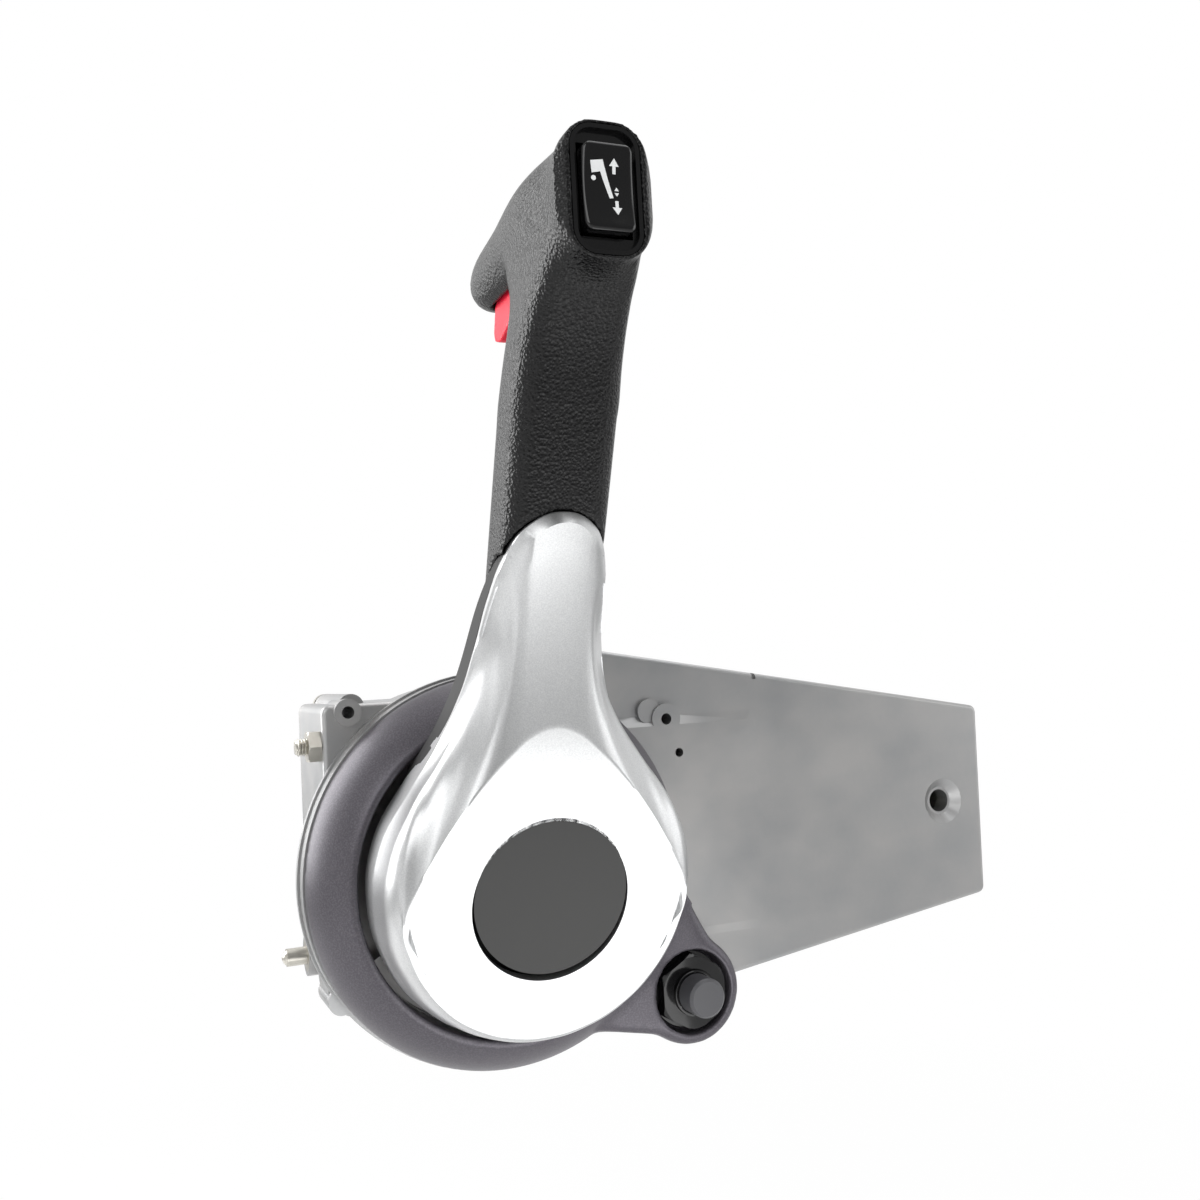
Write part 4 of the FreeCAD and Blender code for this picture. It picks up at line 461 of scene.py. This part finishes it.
flank_depths = [(-51.0, -41.5), (0.0, -52.3), (20.0, -54.2), (33.0, -55.0), (46.0, -57.0), (57.0, -61.0),
                (68.0, -67.0), (82.0, -73.0)]
rim_line = (hub_radius, 41.0,
            [(31.5, 45.0), (24.8, 60.0), (20.9, 75.0), (18.6, 90.0), (15.6, 102.0), (10.2, 110.2)],
            113.6)
crease_line = (hub_radius - 1.0, 38.0, [(30.4, 44.0), (23.4, 58.0), (18.8, 73.0), (15.9, 88.0), (12.8, 99.5),
                                        (8.0, 107.0)], 110.0)
flank_line = (hub_radius - 2.0, 24.0, [(37.6, 30.5), (28.6, 42.5), (20.8, 54.0), (15.0, 65.0), (11.5, 73.0),
                                       (7.0, 79.0)], 81.5)
face_line = (hub_radius - 4.0, -6.0, [(42.8, 5.0), (38.0, 13.5), (30.5, 24.8), (22.6, 34.5), (13.5, 43.5),
                                      (8.0, 47.9)], 50.4)


def depth_at(depths, height):
    """Depth at a height, on straight lines between given (height, depth) points."""
    for (z0, y0), (z1, y1) in zip(depths, depths[1:]):
        if height <= z1:
            return y0 + (y1 - y0) * (height - z0) / (z1 - z0)
    return depths[-1][1]


def teardrop(line, depth_of):
    """Guide points of a closed teardrop in millimetres, from where its right flank leaves the hub."""
    radius, join, flank, top = line
    span = 180 + 2 * join
    hub = [(radius * math.cos(math.radians(180 - join + span * i / 12)),
            radius * math.sin(math.radians(180 - join + span * i / 12))) for i in range(13)]
    points = [hub[-1]] + flank + [(0.0, top)] + [(-x, z) for x, z in reversed(flank)] + hub[:-1]
    return [Vector((x, depth_of(z), z)) for x, z in points]


def smooth_line(guides, fineness=8):
    """Points of the closed smooth line through the guide points, in their order."""
    drawn = bpy.data.curves.new("guide", "CURVE")
    drawn.dimensions = "3D"
    line = drawn.splines.new("BEZIER")
    line.bezier_points.add(len(guides) - 1)
    for knot, guide in zip(line.bezier_points, guides):
        knot.co = guide
        knot.handle_left_type = knot.handle_right_type = "AUTO"
    line.use_cyclic_u = True
    line.resolution_u = fineness
    holder = bpy.data.objects.new("guide", drawn)
    scene.collection.objects.link(holder)
    bpy.context.view_layer.update()
    mesh = bpy.data.meshes.new_from_object(holder)
    points = [vert.co.copy() for vert in mesh.vertices]
    bpy.data.objects.remove(holder)
    bpy.data.meshes.remove(mesh)
    return points


back_line = smooth_line(teardrop(rim_line, lambda z: depth_at(back_depths, z)))
rim_edge = smooth_line(teardrop(rim_line, lambda z: depth_at(rim_depths, z)))
crease_edge = smooth_line(teardrop(crease_line, lambda z: depth_at(crease_depths, z)))
flank_middle = smooth_line(teardrop(flank_line, lambda z: depth_at(flank_depths, z)))
face_edge = smooth_line(teardrop(face_line, lambda z: face_front - z * math.tan(face_tilt)))
# Rows of points from the back edge to the mouth of the cap's recess, each joined to the next.
rows = [back_line, rim_edge, crease_edge]
for step in (1, 2, 3, 4, 5, 6, 7, 7.85):
    t = step / 8
    early, middle, late = (1 - t) * (1 - 2 * t), 4 * t * (1 - t), t * (2 * t - 1)
    rows.append([a * early + b * middle + c * late
                 for a, b, c in zip(crease_edge, flank_middle, face_edge)])
rows.append(face_edge)
rows.append([point.lerp(cap_middle, 0.015) for point in face_edge])
face_up = Vector((0.0, -math.sin(face_tilt), math.cos(face_tilt)))
face_back = Vector((0.0, math.cos(face_tilt), math.sin(face_tilt)))
top_index = len(face_edge) * (len(face_line[2]) + 1) / (2 * len(face_line[2]) + 14)
mouth = []
for index in range(len(face_edge)):
    angle = math.pi / 2 + 2 * math.pi * (index - top_index) / len(face_edge)
    mouth.append(cap_middle + (Vector((math.cos(angle), 0.0, 0.0)) + face_up * math.sin(angle)) * mouth_radius)
rows += [mouth, [point + face_back * 0.25 for point in mouth],
         [point + face_back * mouth_depth for point in mouth]]
cover = bmesh.new()
rings = [[cover.verts.new(point * MM) for point in row] for row in rows]
for first, second in zip(rings, rings[1:]):
    for index in range(len(first)):
        cover.faces.new((first[index - 1], first[index], second[index], second[index - 1]))
rounded = [cover.edges.get((rings[1][index - 1], rings[1][index]))
           for index in range(len(rings[1]))]
bmesh.ops.bevel(cover, geom=rounded, offset=edge_rounding * MM, offset_type="OFFSET", affect="EDGES",
                segments=2, profile=0.5,
                material=-1)
silver_cover = new_piece("silver_cover", cover, silver, "lever", "front_cover")
wall = silver_cover.modifiers.new("wall", "SOLIDIFY")
wall.thickness = wall_thickness * MM
wall.offset = -1.0
crease = silver_cover.modifiers.new("crease", "EDGE_SPLIT")
crease.split_angle = math.radians(40)

black_abs, tree, shader, place = start_finish("black_abs", "#060606", roughness=0.42,
                                              specular_ior_level=0.25)
spark = add_node(tree, "ShaderNodeTexNoise", {"Scale": 800.0}, {"Vector": place})
roughen(tree, shader, spark.outputs[0], 0.15, 0.05)
dress(["back_cover", "neutral_switch"], black_abs)


# Hub button. A flat round cap moulded in black ABS with a satin face and a narrow rounded edge.
# Its face is left bare.
cap_black, tree, shader, place = start_finish("satin_black_abs", "#1c1c1b", roughness=0.36,
                                              specular_ior_level=0.4)
sheen = add_node(tree, "ShaderNodeTexNoise", {"Scale": 1500.0}, {"Vector": place})
tree.links.new(vary(tree, sheen.outputs[0], 0.35, 0.38), shader.inputs["Roughness"])
roughen(tree, shader, sheen.outputs[0], 0.05, 0.02)
dress(["hub_button"], cap_black, softness=0.3)


# Grip. Black nylon moulded over the core, with a leather grain of shallow pebbles about a
# millimetre across.
# The thumb scoop under the head is smooth and dull from use; its lighter grey base colour is a painted
# reflection.
grained, tree, shader, place = start_finish("grained_black_nylon", "#060607", roughness=0.36,
                                             specular_ior_level=0.32)
pebble = add_node(tree, "ShaderNodeTexVoronoi", {"Scale": 1050.0, "Smoothness": 0.5}, {"Vector": place},
                  feature="SMOOTH_F1")
crumple = add_node(tree, "ShaderNodeTexNoise", {"Scale": 1700.0, "Detail": 2.0}, {"Vector": place})
grain = add_node(tree, "ShaderNodeMath", {1: 0.5}, {0: crumple.outputs[0], 2: pebble.outputs["Distance"]},
                 operation="MULTIPLY_ADD")
scoop = add_node(tree, "ShaderNodeMapping", {"Location": (0.0, 0.118, -0.166), "Scale": (1.0, 1.0, 1.25)},
                 {"Vector": place}, vector_type="POINT")
scoop_wear_and_painted_sheen_distance = add_node(tree, "ShaderNodeVectorMath", wires={0: scoop.outputs[0]}, operation="LENGTH")
scoop_wear_and_painted_sheen_mask = vary(tree, scoop_wear_and_painted_sheen_distance.outputs["Value"], 0.0, 1.0, 0.011, 0.016)
shallow = add_node(tree, "ShaderNodeMath", wires={0: grain.outputs[0], 1: scoop_wear_and_painted_sheen_mask}, operation="MULTIPLY")
roughen(tree, shader, shallow.outputs[0], 1.0, 0.34)
# Painted reflection: the scoop's base colour is a lighter grey (#232626) than the black grain (#060607) around
# it.
tree.links.new(blend_tones(tree, scoop_wear_and_painted_sheen_mask, "#232626", "#060607"), shader.inputs["Base Color"])
tree.links.new(vary(tree, scoop_wear_and_painted_sheen_mask, 0.50, 0.30, 0.0, 1.0), shader.inputs["Roughness"])
dress(["grip"], grained)


def grip_passes(place):
    """Most smoothing where the shaft flows into the head, none on the faces that seat other pieces."""
    outside = abs(place.x) > 10.8 or (place.z < 175.0 and place.y < -100.0)
    reach = min((place.z - 146.0) / 20.0, (206.0 - place.z) / 10.0, 1.0)
    if outside and reach > 0.0 and place.y > -123.5:
        return 5 + round(65 * reach)
    return 5 if abs(place.x) > 8.6 or place.y < -112.0 else 0


softened("grained_grip", "grip", "lever", grained, 0.8, grip_passes)


# Trim switch in the end of the grip. Gloss black frame, and a dished rocker key with rounded edges,
# both moulded and polished. The white marks are printed on the key.
dress(["switch_frame", "trim_rocker"], gloss_black)
key_low, key_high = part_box("trim_rocker")
key_shortening = 0.6 * MM
key_lead = 1.6 * MM
corner_radius = 2.4 * MM
rim_radius = 1.5 * MM
key_width = key_high[0] - key_low[0]
key_height = key_high[2] - key_low[2] - key_shortening
key_middle = (key_low[2] + key_high[2]) / 2
key_front = key_low[1] - key_lead
key_back = key_high[1]
dish_radius = 45 * MM
dish_depth = key_height ** 2 / 8 / dish_radius


def dish_at(height):
    """Depth of the key's face behind its upper and lower ends."""
    reach = height - key_middle
    return dish_depth - reach ** 2 / 2 / dish_radius


key = bmesh.new()
bmesh.ops.create_cube(key, size=1.0,
                      matrix=Matrix.Translation((0.0, (key_front + key_back) / 2, key_middle))
                      @ Matrix.Diagonal((key_width, key_back - key_front, key_height, 1.0)))
corners = [edge for edge in key.edges if abs((edge.verts[0].co - edge.verts[1].co).y) > 1 * MM]
bmesh.ops.bevel(key, geom=corners, offset=corner_radius, offset_type="OFFSET", affect="EDGES",
                segments=5, profile=0.5,
                material=-1)
rim = [edge for edge in key.edges if all(abs(vert.co.y - key_front) < 0.01 * MM for vert in edge.verts)]
bmesh.ops.bevel(key, geom=rim, offset=rim_radius, offset_type="OFFSET", affect="EDGES",
                segments=5, profile=0.5,
                material=-1)
for cut in range(1, 14):
    bmesh.ops.bisect_plane(key, geom=list(key.verts) + list(key.edges) + list(key.faces), dist=0.0001 * MM,
                           plane_co=(0.0, 0.0, key_middle + key_height * (cut / 14 - 0.5)),
                           plane_no=(0.0, 0.0, 1.0))
for vert in key.verts:
    nearness = max(0.0, 1.0 - (vert.co.y - key_front) / (3.0 * MM))
    vert.co.y += dish_at(vert.co.z) * nearness
rocker_key = new_piece("trim_key", key, gloss_black, "trim_rocker", "trim_rocker")
crease = rocker_key.modifiers.new("crease", "EDGE_SPLIT")
crease.split_angle = math.radians(35)

# The marks are a thin skin of white ink, bent to the dish.
print_white, tree, shader, place = start_finish("white_pad_print", "#eceeee", roughness=0.45)
ink = add_node(tree, "ShaderNodeTexNoise", {"Scale": 900.0}, {"Vector": place})
tree.links.new(vary(tree, ink.outputs[0], 0.38, 0.52), shader.inputs["Roughness"])

mark_scale = 0.92
mark_shift = (-0.3, 0.7)


def printed_mark(name, outline):
    """Thin white mark on the key, from (x, z) points in millimetres about the key's middle."""
    mark = bmesh.new()
    outline = [(mark_scale * x + mark_shift[0], mark_scale * z + mark_shift[1]) for x, z in outline]
    corners = [mark.verts.new((x * MM, 0.0, key_middle + z * MM)) for x, z in outline]
    mark.faces.new(corners)
    heights = [z for _, z in outline]
    low, high = min(heights), max(heights)
    steps = max(2, int((high - low) / 0.8))
    for step in range(1, steps):
        level = low + (high - low) * step / steps
        bmesh.ops.bisect_plane(mark, geom=list(mark.verts) + list(mark.edges) + list(mark.faces),
                               dist=0.0001 * MM,
                               plane_co=(0.0, 0.0, key_middle + level * MM), plane_no=(0.0, 0.0, 1.0))
    for vert in mark.verts:
        vert.co.y = key_front + dish_at(vert.co.z) - 0.06 * MM
    walls = bmesh.ops.extrude_face_region(mark, geom=list(mark.faces))
    for item in walls["geom"]:
        if isinstance(item, bmesh.types.BMVert):
            item.co.y += 0.12 * MM
    return new_piece(name, mark, print_white, "trim_rocker", smooth=False)


dot = [(-4.3 + 0.75 * math.cos(math.radians(a)), 1.6 + 0.75 * math.sin(math.radians(a)))
       for a in range(0, 360, 30)]
printed_mark("mark_hull",
             [(-5.2, 6.4), (-1.4, 7.0), (1.6, -3.8), (0.4, -4.0), (-2.2, 3.6), (-4.8, 3.0)])
printed_mark("mark_pivot", dot)
printed_mark("mark_up",
             [(1.6, 3.2), (2.6, 3.2), (2.6, 5.4), (3.6, 5.4), (2.1, 7.6), (0.6, 5.4), (1.6, 5.4)])
printed_mark("mark_down",
             [(2.0, -4.6), (3.0, -4.6), (3.0, -6.6), (4.0, -6.6), (2.5, -8.8), (1.0, -6.6),
              (2.0, -6.6)])
printed_mark("mark_both_up", [(2.0, -1.6), (2.7, -0.6), (3.4, -1.6)])
printed_mark("mark_both_down", [(2.0, -2.2), (3.4, -2.2), (2.7, -3.2)])


# Lock trigger. Red plastic finger piece under the grip's head, lifted to free the lever from neutral.
red_abs, tree, shader, place = start_finish("red_abs", "#ea1c38", roughness=0.33, specular_ior_level=0.3)
blush = add_node(tree, "ShaderNodeTexNoise", {"Scale": 200.0}, {"Vector": place})
tree.links.new(blend_tones(tree, blush.outputs[0], "#e61a36", "#f02a44"), shader.inputs["Base Color"])
roughen(tree, shader, blush.outputs[0], 0.08, 0.04)
dress(["lock_trigger"], red_abs)
trigger_width_share = 0.90
trigger = softened("trigger_moulding", "lock_trigger", "lock_release", red_abs, 0.5, lambda place: 12)
for vert in trigger.data.vertices:
    vert.co.x *= trigger_width_share
